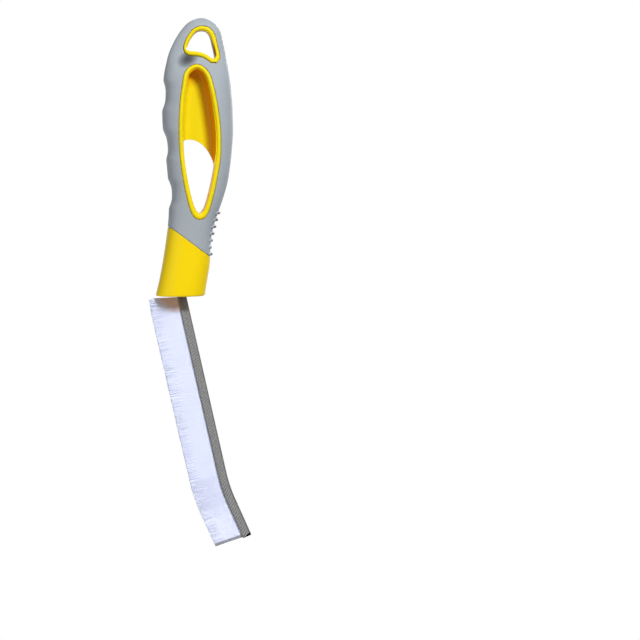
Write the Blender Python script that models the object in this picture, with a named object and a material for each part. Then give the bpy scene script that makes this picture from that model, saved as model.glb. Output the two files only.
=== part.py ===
"""Grout brush: a yellow core moulding in a soft grey skin, with a bent metal channel of bristles.

Metres, +Z up. The origin is where a hook touches the top of the hanging hole, at the middle of the
handle's thickness. The broad face looks along -Y, and the bristles point to -X.
"""

import math

import bmesh
import bpy
import numpy as np
from mathutils import Matrix, Vector

# Heights of the handle, from the top down
LOOP_WALL = 0.0065
HOLE_HEIGHT = 0.0137
LAND_HEIGHT = 0.0048
WINDOW_HEIGHT = 0.06975
NECK_LENGTH = 0.0399

# Widths of the handle at the middle of the window, from left to right
LEFT_BAR = 0.01055
WINDOW_WIDTH = 0.0153
RIGHT_BAR = 0.00885
HOLE_WIDTH = 0.01305

# The handle's body
GRIP_THICKNESS = 0.025
SECTION_POWER = 2.5
FERRULE_POWER = 2.2
FERRULE_ROUND = 0.0007
DENT_DEPTH = 0.0008
DENT_NEAR = 0.0032
DENT_FAR = 0.012
DENT_SIDE = 0.0042
DENT_TURN = math.radians(58)

# The soft skin, its grooves for the fingers and its ribs for the thumb
SKIN_THICKNESS = 0.0018
PARTING_HIGH = 0.0338
PARTING_LOW = 0.0192
GROOVE_COUNT = 3
GROOVE_FIRST = 0.0309
GROOVE_PITCH = 0.02365
GROOVE_DEPTH = 0.00155
GROOVE_HALF_LENGTH = 0.0078
RIB_COUNT = 7
RIB_PITCH = 0.00336
RIB_LOWEST = 0.0206
RIB_REACH = 0.0012
RIB_ROOT = 0.0009
RIB_HALF_THICKNESS = 0.00065
RIB_HALF_ANGLE = math.radians(34)

# The rims and the web of the core
WINDOW_RIM = 0.00238
HOLE_RIM = 0.0024
RIM_PROUD = 0.0005
WINDOW_RIM_GAINS = (0.0, 0.45)
HOLE_RIM_GAINS = (0.16, 0.1)
WEB_THICKNESS = 0.005
WEB_EDGE_DROP = 0.0013
WEB_END_RAMP = 0.004
WEB_OVERLAP = 0.001
HOLLOW_POWER = 4

# The strip: a channel of folded metal, with its back on the line that the path follows
CHANNEL_WIDTH = 0.0048
CHANNEL_HEIGHT = 0.0044
CHANNEL_WALL = 0.0005
CHANNEL_CHAMFER = 0.0004
MOUTH_WIDTH = 0.003
TANG_LENGTH = 0.016
STRIP_STRAIGHT = 0.0904
STRIP_BEND = 0.014
STRIP_END = 0.0197
STRIP_LEAN = math.radians(12.3)
STRIP_END_LEAN = math.radians(23.4)
BACK_FROM_FERRULE_LEFT = 0.01493

# The filaments and the wire that they are folded on
WIRE_RADIUS = 0.0006
WIRE_DEPTH = 0.00195
TRIM_LENGTH = 0.0141
STRAND_PITCH = 0.00091
STRAND_ROW_GAP = 0.0008
STRAND_ROOT_RADIUS = 0.00034
STRAND_TIP_RADIUS = 0.00028
STRAND_SINK = 0.0004
TIP_HALF_SPREAD = 0.0019
BRISTLE_START = 0.0006
BRISTLE_END_GAP = 0.0004
TOP_FAN = math.radians(11)
TOP_FAN_LENGTH = 0.007
END_FAN = math.radians(6)
END_FAN_LENGTH = 0.015

# Fits
FIT_GAP = 0.0003
OVERRUN = 0.004
MERGE_DISTANCE = 0.000001
SHARP_ANGLE = math.radians(35)

# Counts of sides and steps
SECTION_SIDES = 24
HIDDEN_SIDES = 20
RING_PITCH = 0.0024
HIDDEN_RING_PITCH = 0.0036
SECTION_STEPS = 2
OUTLINE_STEPS = 3
BEND_STEPS = 6
RIB_STEPS = 4
RIB_SIDES = 8
MOUTH_SIDES = 40
WEB_COLUMNS = 9
WEB_ROWS = 12
BRISTLE_NAMES = ("bristles_upper", "bristles_middle", "bristles_tip")

# Sizes that follow from the ones above
HANDLE_LENGTH = LOOP_WALL + HOLE_HEIGHT + LAND_HEIGHT + WINDOW_HEIGHT + NECK_LENGTH
GRIP_WIDTH = LEFT_BAR + WINDOW_WIDTH + RIGHT_BAR
FERRULE_Z = LOOP_WALL - HANDLE_LENGTH
WINDOW_TOP_Z = -HOLE_HEIGHT - LAND_HEIGHT
STRIP_LENGTH = STRIP_STRAIGHT + STRIP_BEND + STRIP_END

# Stations down the handle: how far down its length, its left and right edges as shares of the
# grip's width from the hook, and its thickness
STATION_SHARES = (
    (0.0, 0.023, 0.023, 0.0),
    (0.0022, -0.035, 0.075, 0.10),
    (0.0096, -0.121, 0.144, 0.20),
    (0.0236, -0.199, 0.216, 0.30),
    (0.048, -0.280, 0.280, 0.36),
    (0.0804, -0.360, 0.311, 0.40),
    (0.1233, -0.438, 0.346, 0.47),
    (0.1663, -0.484, 0.380, 0.67),
    (0.2094, -0.516, 0.406, 0.84),
    (0.2748, -0.538, 0.432, 0.95),
    (0.3379, -0.543, 0.444, 0.99),
    (0.4025, -0.534, 0.448, 1.0),
    (0.4671, -0.511, 0.431, 1.0),
    (0.5317, -0.484, 0.403, 0.985),
    (0.5963, -0.4665, 0.360, 0.96),
    (0.6617, -0.460, 0.282, 0.93),
    (0.7264, -0.470, 0.190, 0.895),
    (0.7925, -0.501, 0.130, 0.86),
    (0.88, -0.556, 0.112, 0.825),
    (0.945, -0.606, 0.071, 0.812),
    (1.0, -0.657, 0.037, 0.80),
)
WIDEST_LEFT_SHARE = -0.5504
WINDOW_MIDDLE_X = WIDEST_LEFT_SHARE * GRIP_WIDTH + LEFT_BAR + WINDOW_WIDTH / 2

# How far across the ferrule the parting line bends from level to slanting
PARTING_BEND_SHARE = 0.12

# The window's outline: how far down its height, its middle and its half width
WINDOW_SHARES = (
    (0.0, -0.08, 0.0),
    (0.035, -0.082, 0.230),
    (0.1085, -0.056, 0.331),
    (0.227, -0.037, 0.428),
    (0.394, -0.006, 0.5),
    (0.567, 0.008, 0.492),
    (0.705, -0.001, 0.411),
    (0.842, -0.0115, 0.2857),
    (0.948, -0.018, 0.147),
    (0.989, -0.020, 0.0),
)

# The hanging hole's outline, from the hook anticlockwise, in shares of its width and height
HOLE_SHARES = (
    (0.0, 0.0),
    (-0.195, -0.080),
    (-0.366, -0.290),
    (-0.474, -0.515),
    (-0.490, -0.635),
    (-0.405, -0.688),
    (-0.175, -0.705),
    (0.008, -0.737),
    (0.192, -0.803),
    (0.350, -0.905),
    (0.445, -0.960),
    (0.494, -0.912),
    (0.460, -0.715),
    (0.400, -0.470),
    (0.326, -0.195),
    (0.200, -0.036),
)
DENT_PLACE_SHARES = (-0.552, -1.007)

# The arched mouth in the web, in shares of the window's width and height
MOUTH_CENTRE_SHARES = (-0.3135, 0.767)
MOUTH_HALF_SHARES = (0.8386, 0.2849)

# The points of a rim's front, outermost first: how far out from the opening, as a share of the rim's
# width, and how far above the skin, as a share of how proud the rim stands
RIM_SHARES = ((1.0, -6.0), (0.98, -1.2), (0.84, 0.5), (0.56, 1.0), (0.28, 0.4), (0.14, -2.0))


def clear_scene():
    for found in list(bpy.data.objects):
        bpy.data.objects.remove(found, do_unlink=True)


def new_collection(name, hidden=False):
    made = bpy.data.collections.new(name)
    bpy.context.scene.collection.children.link(made)
    made.hide_render = hidden
    return made


def new_material(name, colour, roughness, metallic=0.0):
    made = bpy.data.materials.new(name)
    made.use_nodes = True
    shader = made.node_tree.nodes["Principled BSDF"]
    shader.inputs["Base Color"].default_value = (*colour, 1.0)
    shader.inputs["Roughness"].default_value = roughness
    shader.inputs["Metallic"].default_value = metallic
    return made


def smooth_points(points, steps, closed=False):
    """Points on a Catmull-Rom curve through the given ones, with a number of steps between each two."""
    rows = np.asarray(points, float)
    count = len(rows)
    if closed:
        padded = np.vstack([rows[-1], rows, rows[0], rows[1]])
    else:
        padded = np.vstack([2 * rows[0] - rows[1], rows, 2 * rows[-1] - rows[-2]])
    made = []
    for span in range(count if closed else count - 1):
        before, start, end, after = padded[span : span + 4]
        for step in range(steps):
            t = step / steps
            made.append(
                0.5
                * (
                    2 * start
                    + (end - before) * t
                    + (2 * before - 5 * start + 4 * end - after) * t**2
                    + (3 * start - before - 3 * end + after) * t**3
                )
            )
    if not closed:
        made.append(rows[-1])
    return np.array(made)


def finish_mesh(name, bm, collection, material=None):
    bmesh.ops.remove_doubles(bm, verts=bm.verts, dist=MERGE_DISTANCE)
    bmesh.ops.recalc_face_normals(bm, faces=bm.faces)
    mesh = bpy.data.meshes.new(name)
    bm.to_mesh(mesh)
    bm.free()
    mesh.shade_smooth()
    mesh.set_sharp_from_angle(angle=SHARP_ANGLE)
    made = bpy.data.objects.new(name, mesh)
    collection.objects.link(made)
    if material:
        mesh.materials.append(material)
    if collection.hide_render:
        made.hide_render = True
        made.display_type = "WIRE"
    return made


def loft(name, rings, collection, material=None, looped=False):
    """A skin over closed rings of points, capped at both ends, or joined end to end when looped."""
    bm = bmesh.new()
    placed = [[bm.verts.new(point) for point in ring] for ring in rings]
    sides = len(rings[0])
    for first, second in zip(placed, placed[1:] + placed[:1] if looped else placed[1:]):
        for side in range(sides):
            after = (side + 1) % sides
            bm.faces.new((first[side], first[after], second[after], second[side]))
    if not looped:
        bm.faces.new(placed[0])
        bm.faces.new(placed[-1])
    return finish_mesh(name, bm, collection, material)


def mesh_from_curve(name, curve, collection, material=None, turned=False):
    """A curve made a closed mesh. A flat curve, drawn in X and Y, is turned to stand in X and Z."""
    drawn = bpy.data.objects.new(name + "_curve", curve)
    collection.objects.link(drawn)
    if turned:
        drawn.rotation_euler.x = math.pi / 2
    bpy.context.view_layer.update()
    graph = bpy.context.evaluated_depsgraph_get()
    mesh = bpy.data.meshes.new_from_object(drawn.evaluated_get(graph))
    mesh.transform(drawn.matrix_world)
    bm = bmesh.new()
    bm.from_mesh(mesh)
    bpy.data.objects.remove(drawn)
    bpy.data.meshes.remove(mesh)
    return finish_mesh(name, bm, collection, material)


def prism(name, outline, half_depth, collection):
    """An outline in X and Z, filled and given a depth along Y."""
    curve = bpy.data.curves.new(name, "CURVE")
    curve.dimensions = "2D"
    curve.fill_mode = "BOTH"
    curve.extrude = half_depth
    spline = curve.splines.new("POLY")
    spline.points.add(len(outline) - 1)
    for point, (x, z) in zip(spline.points, outline):
        point.co = (x, z, 0, 1)
    spline.use_cyclic_u = True
    return mesh_from_curve(name, curve, collection, turned=True)


def tube(name, points, radius, collection, material=None):
    curve = bpy.data.curves.new(name, "CURVE")
    curve.dimensions = "3D"
    curve.bevel_depth = radius
    curve.bevel_resolution = 2
    curve.use_fill_caps = True
    spline = curve.splines.new("POLY")
    spline.points.add(len(points) - 1)
    for point, place in zip(spline.points, points):
        point.co = (*place, 1)
    return mesh_from_curve(name, curve, collection, material)


def boolean(target, other, operation):
    step = target.modifiers.new(other.name, "BOOLEAN")
    step.object = other
    step.operation = operation
    step.solver = "EXACT"


def stations():
    """Height, left edge, right edge and half thickness at many places down the handle."""
    rows = smooth_points(STATION_SHARES, SECTION_STEPS)
    return np.column_stack(
        [
            LOOP_WALL - rows[:, 0] * HANDLE_LENGTH,
            rows[:, 1] * GRIP_WIDTH,
            rows[:, 2] * GRIP_WIDTH,
            np.clip(rows[:, 3], 0, None) * GRIP_THICKNESS / 2,
        ]
    )


STATIONS = stations()


def groove_at(z):
    """How deep the finger grooves cut into the left edge at a height."""
    depth = 0.0
    for number in range(GROOVE_COUNT):
        along = (z + GROOVE_FIRST + number * GROOVE_PITCH) / GROOVE_HALF_LENGTH
        if abs(along) < 1:
            depth += GROOVE_DEPTH * (1 - abs(along) ** 3) ** 2
    return depth


def edges_at(z):
    """Left edge, crest, right edge and half thickness at a height."""
    heights = STATIONS[::-1, 0]
    left, right, half = (np.interp(z, heights, STATIONS[::-1, column]) for column in (1, 2, 3))
    return left + groove_at(z), (left + right) / 2, right, half


def power_at(z):
    """How full the handle's section is at a height: rounder towards the ferrule's end."""
    return np.interp(z, (FERRULE_Z, FERRULE_Z + NECK_LENGTH), (FERRULE_POWER, SECTION_POWER))


def dent_at(x, z):
    """The shallow dip beside the hanging hole's lower left corner, steeper on the hole's side."""
    off_x = x - DENT_PLACE_SHARES[0] * HOLE_WIDTH
    off_z = z - DENT_PLACE_SHARES[1] * HOLE_HEIGHT
    towards = off_x * math.cos(DENT_TURN) + off_z * math.sin(DENT_TURN)
    aside = off_z * math.cos(DENT_TURN) - off_x * math.sin(DENT_TURN)
    off = math.hypot(towards / (DENT_NEAR if towards > 0 else DENT_FAR), aside / DENT_SIDE)
    return DENT_DEPTH * max(0.0, 1 - off**2) ** 2


def surface_at(x, z):
    """How far the handle's front surface stands out from its middle plane, beside the dip."""
    left, crest, right, half = edges_at(z)
    reach = max(right - crest if x > crest else crest - left, FIT_GAP)
    power = power_at(z)
    return half * (1 - min(abs(x - crest) / reach, 1.0) ** power) ** (1 / power)


def section_point(z, angle):
    """The point of the handle's outline at a height, at an angle seen from above."""
    left, crest, right, half = edges_at(z)
    power = power_at(z)
    across = math.copysign(abs(math.cos(angle)) ** (2 / power), math.cos(angle))
    x = crest + across * (right - crest if across > 0 else crest - left)
    height = half * abs(math.sin(angle)) ** (2 / power)
    return Vector((x, math.copysign(height, math.sin(angle)), z))


def handle_rings(sides, pitch):
    heights = []
    for upper, lower in zip(STATIONS[:-1, 0], STATIONS[1:, 0]):
        parts = max(1, round((upper - lower) / pitch))
        heights += [upper - (upper - lower) * part / parts for part in range(parts)]
    heights = [z for z in heights if z > FERRULE_Z + 2 * FERRULE_ROUND + SKIN_THICKNESS]
    heights.append(FERRULE_Z + FERRULE_ROUND)
    angles = [math.tau * side / sides for side in range(sides)]
    rings = [[section_point(z, angle) for angle in angles] for z in heights]
    _, crest, _, _ = edges_at(FERRULE_Z)
    end = []
    for angle in angles:
        point = section_point(FERRULE_Z, angle)
        inward = Vector((crest - point.x, -point.y, 0)).normalized()
        end.append(point + inward * FERRULE_ROUND)
    return rings + [end]


def handle_solid(name, inset, collection, hidden=False):
    """The handle's form in flat triangles, drawn in by an inset all over, with its dip on both faces."""
    sides, pitch = (HIDDEN_SIDES, HIDDEN_RING_PITCH) if hidden else (SECTION_SIDES, RING_PITCH)
    made = loft(name, handle_rings(sides, pitch), collection)
    mesh = made.data
    moved = [vertex.co - vertex.normal * inset for vertex in mesh.vertices]
    for vertex, place in zip(mesh.vertices, moved):
        dip = min(dent_at(place.x, place.z), abs(place.y))
        vertex.co = (place.x, place.y - math.copysign(dip, place.y), place.z)
    bm = bmesh.new()
    bm.from_mesh(mesh)
    bmesh.ops.triangulate(bm, faces=bm.faces)
    bm.to_mesh(mesh)
    bm.free()
    return made


def window_outline():
    left = []
    right = []
    for drop, middle, half in WINDOW_SHARES:
        z = WINDOW_TOP_Z - drop * WINDOW_HEIGHT
        left.append((WINDOW_MIDDLE_X + (middle - half) * WINDOW_WIDTH, z))
        right.append((WINDOW_MIDDLE_X + (middle + half) * WINDOW_WIDTH, z))
    return smooth_points(left + right[-2:0:-1], OUTLINE_STEPS, closed=True)


def hole_outline():
    points = [(x * HOLE_WIDTH, z * HOLE_HEIGHT) for x, z in HOLE_SHARES]
    return smooth_points(points, OUTLINE_STEPS - 1, closed=True)


def grown(outline, distance):
    """An anticlockwise outline moved outward by a distance."""
    along = np.roll(outline, -1, axis=0) - np.roll(outline, 1, axis=0)
    along /= np.linalg.norm(along, axis=1)[:, None]
    return outline + distance * np.column_stack([along[:, 1], -along[:, 0]])


def rim_widths(outline, width, gains):
    """A rim's width at each place of its outline. It gains some at its right and some at its foot."""
    ways = grown(outline, 1) - outline
    return width * (1 + gains[0] * ways[:, :1] + gains[1] * np.clip(-ways[:, 1:], 0, None))


def openings():
    """Each opening's name, its outline, and its rim's widths."""
    window = window_outline()
    hole = hole_outline()
    return (
        ("window", window, rim_widths(window, WINDOW_RIM, WINDOW_RIM_GAINS)),
        ("hole", hole, rim_widths(hole, HOLE_RIM, HOLE_RIM_GAINS)),
    )


def rim(name, outline, widths, collection):
    """The lining of an opening, with a rounded rim that stands proud of the skin on both sides."""
    rings = []
    for inner, outer in zip(outline, grown(outline, widths)):
        skin = surface_at(outer[0], outer[1])
        front = []
        for out_share, proud_share in RIM_SHARES:
            x, z = inner + (outer - inner) * out_share
            front.append(Vector((x, -max(skin + proud_share * RIM_PROUD, skin / 2), z)))
        back = [Vector((place.x, -place.y, place.z)) for place in reversed(front)]
        rings.append(front + [Vector((inner[0], 0, inner[1]))] + back)
    return loft(name, rings, collection, looped=True)


def web(collection):
    """The wall across the upper part of the window, hollowed into a trough on both faces."""
    outline = window_outline()
    middle = len(outline) // 2
    left_side = outline[: middle + 1][::-1]
    right_side = np.vstack([outline[middle:], outline[:1]])
    mouth_z = WINDOW_TOP_Z - MOUTH_CENTRE_SHARES[1] * WINDOW_HEIGHT
    falls = [(row / WEB_ROWS) ** 1.5 for row in range(WEB_ROWS + 1)]
    heights = [WINDOW_TOP_Z + (mouth_z - WINDOW_TOP_Z) * fall for fall in falls]
    rings = []
    for z in [WINDOW_TOP_Z + WEB_OVERLAP] + heights:
        left = np.interp(z, left_side[:, 1], left_side[:, 0])
        right = np.interp(z, right_side[:, 1], right_side[:, 0])
        half = max((right - left) / 2, WEB_OVERLAP / 2)
        ramp = min(1.0, max(0.0, WINDOW_TOP_Z - z) / WEB_END_RAMP)
        ramp = math.sqrt(1 - (1 - ramp) ** 2)
        shares = [-math.cos(math.pi * column / (WEB_COLUMNS - 1)) for column in range(WEB_COLUMNS)]
        front = []
        for across in [-1 - WEB_OVERLAP / half] + shares + [1 + WEB_OVERLAP / half]:
            x = (left + right) / 2 + across * half
            top = surface_at(x, z) - WEB_EDGE_DROP
            hollow = ramp * max(0.0, 1 - across**HOLLOW_POWER) ** (1 / HOLLOW_POWER)
            front.append((x, top - (top - WEB_THICKNESS / 2) * hollow))
        ring = [Vector((x, -depth, z)) for x, depth in front]
        ring += [Vector((x, depth, z)) for x, depth in reversed(front)]
        rings.append(ring)
    made = loft("web", rings, collection)
    boolean(made, mouth(collection), "DIFFERENCE")
    return made


def mouth(collection):
    """The arch that leaves the lower part of the window open."""
    centre = (
        WINDOW_MIDDLE_X + MOUTH_CENTRE_SHARES[0] * WINDOW_WIDTH,
        WINDOW_TOP_Z - MOUTH_CENTRE_SHARES[1] * WINDOW_HEIGHT,
    )
    reach = (MOUTH_HALF_SHARES[0] * WINDOW_WIDTH, MOUTH_HALF_SHARES[1] * WINDOW_HEIGHT)
    turns = [math.tau * step / MOUTH_SIDES for step in range(MOUTH_SIDES)]
    outline = [(centre[0] + reach[0] * math.cos(a), centre[1] + reach[1] * math.sin(a)) for a in turns]
    return prism("mouth", outline, GRIP_THICKNESS, collection)


def parting_line(lift):
    """The slanting line where the grey skin ends, from beyond the left edge to beyond the right."""
    high = FERRULE_Z + PARTING_HIGH + lift
    low = FERRULE_Z + PARTING_LOW + lift
    left = edges_at(high)[0]
    right = edges_at(low)[2]
    corner = left + PARTING_BEND_SHARE * (right - left)
    slope = (high - low) / (right - corner)
    return [
        (left - GRIP_WIDTH / 2, high),
        (left - FIT_GAP, high),
        (corner, high - slope * (corner - left) / 2),
        (right + OVERRUN, low - slope * OVERRUN),
    ]


def below_parting(lift, collection):
    """A block that holds everything under the parting line."""
    line = parting_line(lift)
    floor = FERRULE_Z - OVERRUN
    return prism("below_parting", line + [(line[-1][0], floor), (line[0][0], floor)], GRIP_THICKNESS, collection)


def above_parting(collection):
    line = parting_line(0)
    ceiling = LOOP_WALL + OVERRUN
    outline = [(line[0][0] - GRIP_WIDTH, line[0][1])] + line + [(line[-1][0] + GRIP_WIDTH, line[-1][1])]
    outline += [(outline[-1][0], ceiling), (outline[0][0], ceiling)]
    return prism("above_parting", outline, GRIP_THICKNESS, collection)


def thumb_rib(z, collection):
    """A thin rib across the right edge at a height, highest in its middle and sunk at both ends."""
    _, crest, _, _ = edges_at(z)
    rings = []
    for step in range(-RIB_STEPS, RIB_STEPS + 1):
        share = step / RIB_STEPS
        foot = section_point(z, RIB_HALF_ANGLE * share)
        outward = Vector((foot.x - crest, foot.y, 0)).normalized()
        reach = RIB_REACH * (1 - share**2) - RIB_ROOT * share**4 / 2
        ring = []
        for side in range(RIB_SIDES):
            turn = math.tau * side / RIB_SIDES
            out = (reach + RIB_ROOT) / 2 * math.cos(turn) + (reach - RIB_ROOT) / 2
            ring.append(foot + outward * out + Vector((0, 0, RIB_HALF_THICKNESS * math.sin(turn))))
        rings.append(ring)
    return loft("rib", rings, collection)


def thumb_ribs(collection):
    """The ribs, from just above the parting line up."""
    bm = bmesh.new()
    for number in range(RIB_COUNT):
        rib = thumb_rib(FERRULE_Z + RIB_LOWEST + number * RIB_PITCH, collection)
        bm.from_mesh(rib.data)
        bpy.data.objects.remove(rib)
    return finish_mesh("thumb_ribs", bm, collection)


def grip_skin(brush, cutters, material):
    """The soft grey overmould: a sleeve round the spine, open below and at both openings."""
    skin = handle_solid("grip_skin", 0, brush)
    skin.data.materials.append(material)
    boolean(skin, thumb_ribs(cutters), "UNION")
    boolean(skin, below_parting(FIT_GAP, cutters), "DIFFERENCE")
    boolean(skin, handle_solid("skin_cavity", SKIN_THICKNESS, cutters, hidden=True), "DIFFERENCE")
    for name, outline, widths in openings():
        edge = grown(outline, widths + FIT_GAP)
        boolean(skin, prism(f"skin_{name}", edge, GRIP_THICKNESS, cutters), "DIFFERENCE")


def handle_core(brush, cutters, material):
    """The yellow moulding: spine, ferrule, linings of the two openings, web and the tang's socket."""
    core = handle_solid("handle_core", 0, brush)
    core.data.materials.append(material)
    boolean(core, above_parting(cutters), "DIFFERENCE")
    spine = handle_solid("spine", SKIN_THICKNESS + FIT_GAP, cutters, hidden=True)
    boolean(core, spine, "UNION")
    for name, outline, widths in openings():
        boolean(core, prism(f"core_{name}", grown(outline, widths / 2), GRIP_THICKNESS, cutters), "DIFFERENCE")
        boolean(core, rim(f"{name}_rim", outline, widths, cutters), "UNION")
    boolean(core, web(cutters), "UNION")
    boolean(core, socket(cutters), "DIFFERENCE")


def strip_place(along, out):
    """A point of the strip and its outward direction, at a length along its back and a distance out."""
    back_x = edges_at(FERRULE_Z)[0] + BACK_FROM_FERRULE_LEFT
    place = Vector((back_x, 0, FERRULE_Z))
    bend = min(max(along - STRIP_STRAIGHT, 0.0), STRIP_BEND)
    place += min(along, STRIP_STRAIGHT) * Vector((math.sin(STRIP_LEAN), 0, -math.cos(STRIP_LEAN)))
    turn = STRIP_END_LEAN - STRIP_LEAN
    lean = STRIP_LEAN + turn * bend / STRIP_BEND
    radius = STRIP_BEND / turn
    place += radius * Vector((math.cos(STRIP_LEAN) - math.cos(lean), 0, math.sin(STRIP_LEAN) - math.sin(lean)))
    place += max(along - STRIP_STRAIGHT - STRIP_BEND, 0.0) * Vector((math.sin(lean), 0, -math.cos(lean)))
    outward = Vector((-math.cos(lean), 0, -math.sin(lean)))
    return place + out * outward, outward


def strip_stops(start, end):
    """Lengths along the strip from one to another, with more of them round the bend."""
    bends = [STRIP_STRAIGHT + STRIP_BEND * step / BEND_STEPS for step in range(BEND_STEPS + 1)]
    return [start] + [stop for stop in bends if start < stop < end] + [end]


def swept(name, section, start, end, collection, material=None):
    """A section, drawn as distance out from the strip's back and across it, carried along the strip."""
    rings = []
    for stop in strip_stops(start, end):
        rings.append([strip_place(stop, out)[0] + Vector((0, across, 0)) for out, across in section])
    return loft(name, rings, collection, material)


def wire(name, start, end, radius, collection, material=None):
    route = [strip_place(stop, WIRE_DEPTH)[0] for stop in strip_stops(start, end)]
    return tube(name, route, radius, collection, material)


def socket(collection):
    """The slot in the ferrule that holds the channel's tang."""
    depth = TANG_LENGTH + FIT_GAP
    corners = [(-depth, -FIT_GAP), (-depth, CHANNEL_HEIGHT + FIT_GAP)]
    corners += [(OVERRUN, CHANNEL_HEIGHT + FIT_GAP), (OVERRUN, -FIT_GAP)]
    outline = [strip_place(along, out)[0] for along, out in corners]
    return prism("socket", [(point.x, point.z) for point in outline], CHANNEL_WIDTH / 2 + FIT_GAP, collection)


def strip_channel(collection, material):
    """Sheet metal folded into a channel, with its lips turned in over the filaments."""
    half = CHANNEL_WIDTH / 2
    inner = half - CHANNEL_WALL
    lip = MOUTH_WIDTH / 2
    side = [
        (0, half - CHANNEL_CHAMFER),
        (CHANNEL_CHAMFER, half),
        (CHANNEL_HEIGHT - CHANNEL_CHAMFER, half),
        (CHANNEL_HEIGHT, half - CHANNEL_CHAMFER),
        (CHANNEL_HEIGHT, lip),
        (CHANNEL_HEIGHT - CHANNEL_WALL, lip),
        (CHANNEL_HEIGHT - CHANNEL_WALL, inner),
        (CHANNEL_WALL, inner),
    ]
    section = side + [(out, -across) for out, across in reversed(side)]
    return swept("strip_channel", section, -TANG_LENGTH, STRIP_LENGTH, collection, material)


def strand(bm, row, number):
    """One filament bundle: a thin three-sided cone from inside the channel out to the trimmed tips."""
    along = BRISTLE_START + (number + 0.5) * STRAND_PITCH
    root_out = CHANNEL_HEIGHT - CHANNEL_WALL - FIT_GAP - STRAND_SINK
    root, outward = strip_place(along, root_out)
    fan = TOP_FAN * max(0.0, 1 - along / TOP_FAN_LENGTH)
    fan += END_FAN * max(0.0, 1 - (STRIP_LENGTH - along) / END_FAN_LENGTH)
    outward = Matrix.Rotation(fan, 3, "Y") @ outward
    length = CHANNEL_HEIGHT - root_out + TRIM_LENGTH * math.cos(fan)
    start = root + Vector((0, row * STRAND_ROW_GAP, 0))
    end = root + outward * length + Vector((0, row * TIP_HALF_SPREAD, 0))
    turn = (end - start).to_track_quat("Z", "Y").to_matrix().to_4x4()
    place = Matrix.Translation((start + end) / 2) @ turn
    bmesh.ops.create_cone(
        bm,
        cap_ends=True,
        segments=3,
        radius1=STRAND_ROOT_RADIUS,
        radius2=STRAND_TIP_RADIUS,
        depth=(end - start).length,
        matrix=place,
    )


def bristles(brush, cutters, material):
    """The folded filaments in lengths of the strip, each fused to its slice of the fold round the wire."""
    count = int((STRIP_LENGTH - BRISTLE_END_GAP - BRISTLE_START) / STRAND_PITCH)
    half = CHANNEL_WIDTH / 2 - CHANNEL_WALL - FIT_GAP
    low = CHANNEL_WALL + FIT_GAP
    high = CHANNEL_HEIGHT - CHANNEL_WALL - FIT_GAP
    section = [(low, -half), (low, half), (high, half), (high, -half)]
    bore = wire("wire_bore", -OVERRUN, STRIP_LENGTH + OVERRUN, WIRE_RADIUS + FIT_GAP, cutters)
    for index, name in enumerate(BRISTLE_NAMES):
        first = count * index // len(BRISTLE_NAMES)
        last = count * (index + 1) // len(BRISTLE_NAMES)
        start = BRISTLE_START + first * STRAND_PITCH + FIT_GAP / 2
        end = BRISTLE_START + last * STRAND_PITCH - FIT_GAP / 2
        piece = swept(name, section, start, end, brush, material)
        bm = bmesh.new()
        for number in range(first, last):
            for row in (-1, 0, 1):
                strand(bm, row, number)
        boolean(piece, bore, "DIFFERENCE")
        boolean(piece, finish_mesh(name + "_strands", bm, cutters), "UNION")


def main():
    clear_scene()
    brush = new_collection("grout_brush")
    cutters = new_collection("cutters", hidden=True)
    yellow = new_material("yellow_core", (0.84, 0.62, 0.02), 0.35)
    grey = new_material("grey_skin", (0.33, 0.37, 0.40), 0.7)
    steel = new_material("channel_steel", (0.25, 0.25, 0.24), 0.45, 1.0)
    bright = new_material("wire_steel", (0.4, 0.4, 0.4), 0.4, 1.0)
    white = new_material("white_filament", (0.8, 0.84, 0.93), 0.5)
    handle_core(brush, cutters, yellow)
    grip_skin(brush, cutters, grey)
    strip_channel(brush, steel)
    wire("channel_wire", FIT_GAP - TANG_LENGTH, STRIP_LENGTH - FIT_GAP, WIRE_RADIUS, brush, bright)
    bristles(brush, cutters, white)


main()
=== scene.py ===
# %% [markdown]
# # A grout brush, dressed over its imported model
#
# The real tool is a yellow plastic core with a soft grey skin moulded over it, and a strip brush pressed
# into its lower end. This lesson rebuilds each piece finely enough to be looked at closely, and gives each
# one a finish made of nodes. The imported model says where everything goes, so it is loaded first.

import math

import bmesh
import bpy
import numpy as np
from mathutils import Matrix, Vector


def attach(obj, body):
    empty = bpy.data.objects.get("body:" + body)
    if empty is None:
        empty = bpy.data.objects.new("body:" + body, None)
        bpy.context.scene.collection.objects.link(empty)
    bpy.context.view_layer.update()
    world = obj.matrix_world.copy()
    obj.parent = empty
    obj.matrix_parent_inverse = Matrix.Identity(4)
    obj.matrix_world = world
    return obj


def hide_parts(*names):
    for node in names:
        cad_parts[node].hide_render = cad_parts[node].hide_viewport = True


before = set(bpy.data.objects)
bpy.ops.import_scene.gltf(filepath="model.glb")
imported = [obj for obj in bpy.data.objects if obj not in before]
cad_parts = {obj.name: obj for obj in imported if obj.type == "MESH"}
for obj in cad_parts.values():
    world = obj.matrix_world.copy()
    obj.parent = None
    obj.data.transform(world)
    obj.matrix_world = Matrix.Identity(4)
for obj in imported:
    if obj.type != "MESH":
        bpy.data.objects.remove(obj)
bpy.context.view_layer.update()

# %% [markdown]
# ## Sizes
#
# All lengths are in metres. The broad face looks along -Y, the brush hangs down from the origin, and the
# bristles point to -X. Outlines are kept as shares of a few named sizes, as a designer would sketch a
# handle on a grid, so one number moves everything that depends on it.

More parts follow.
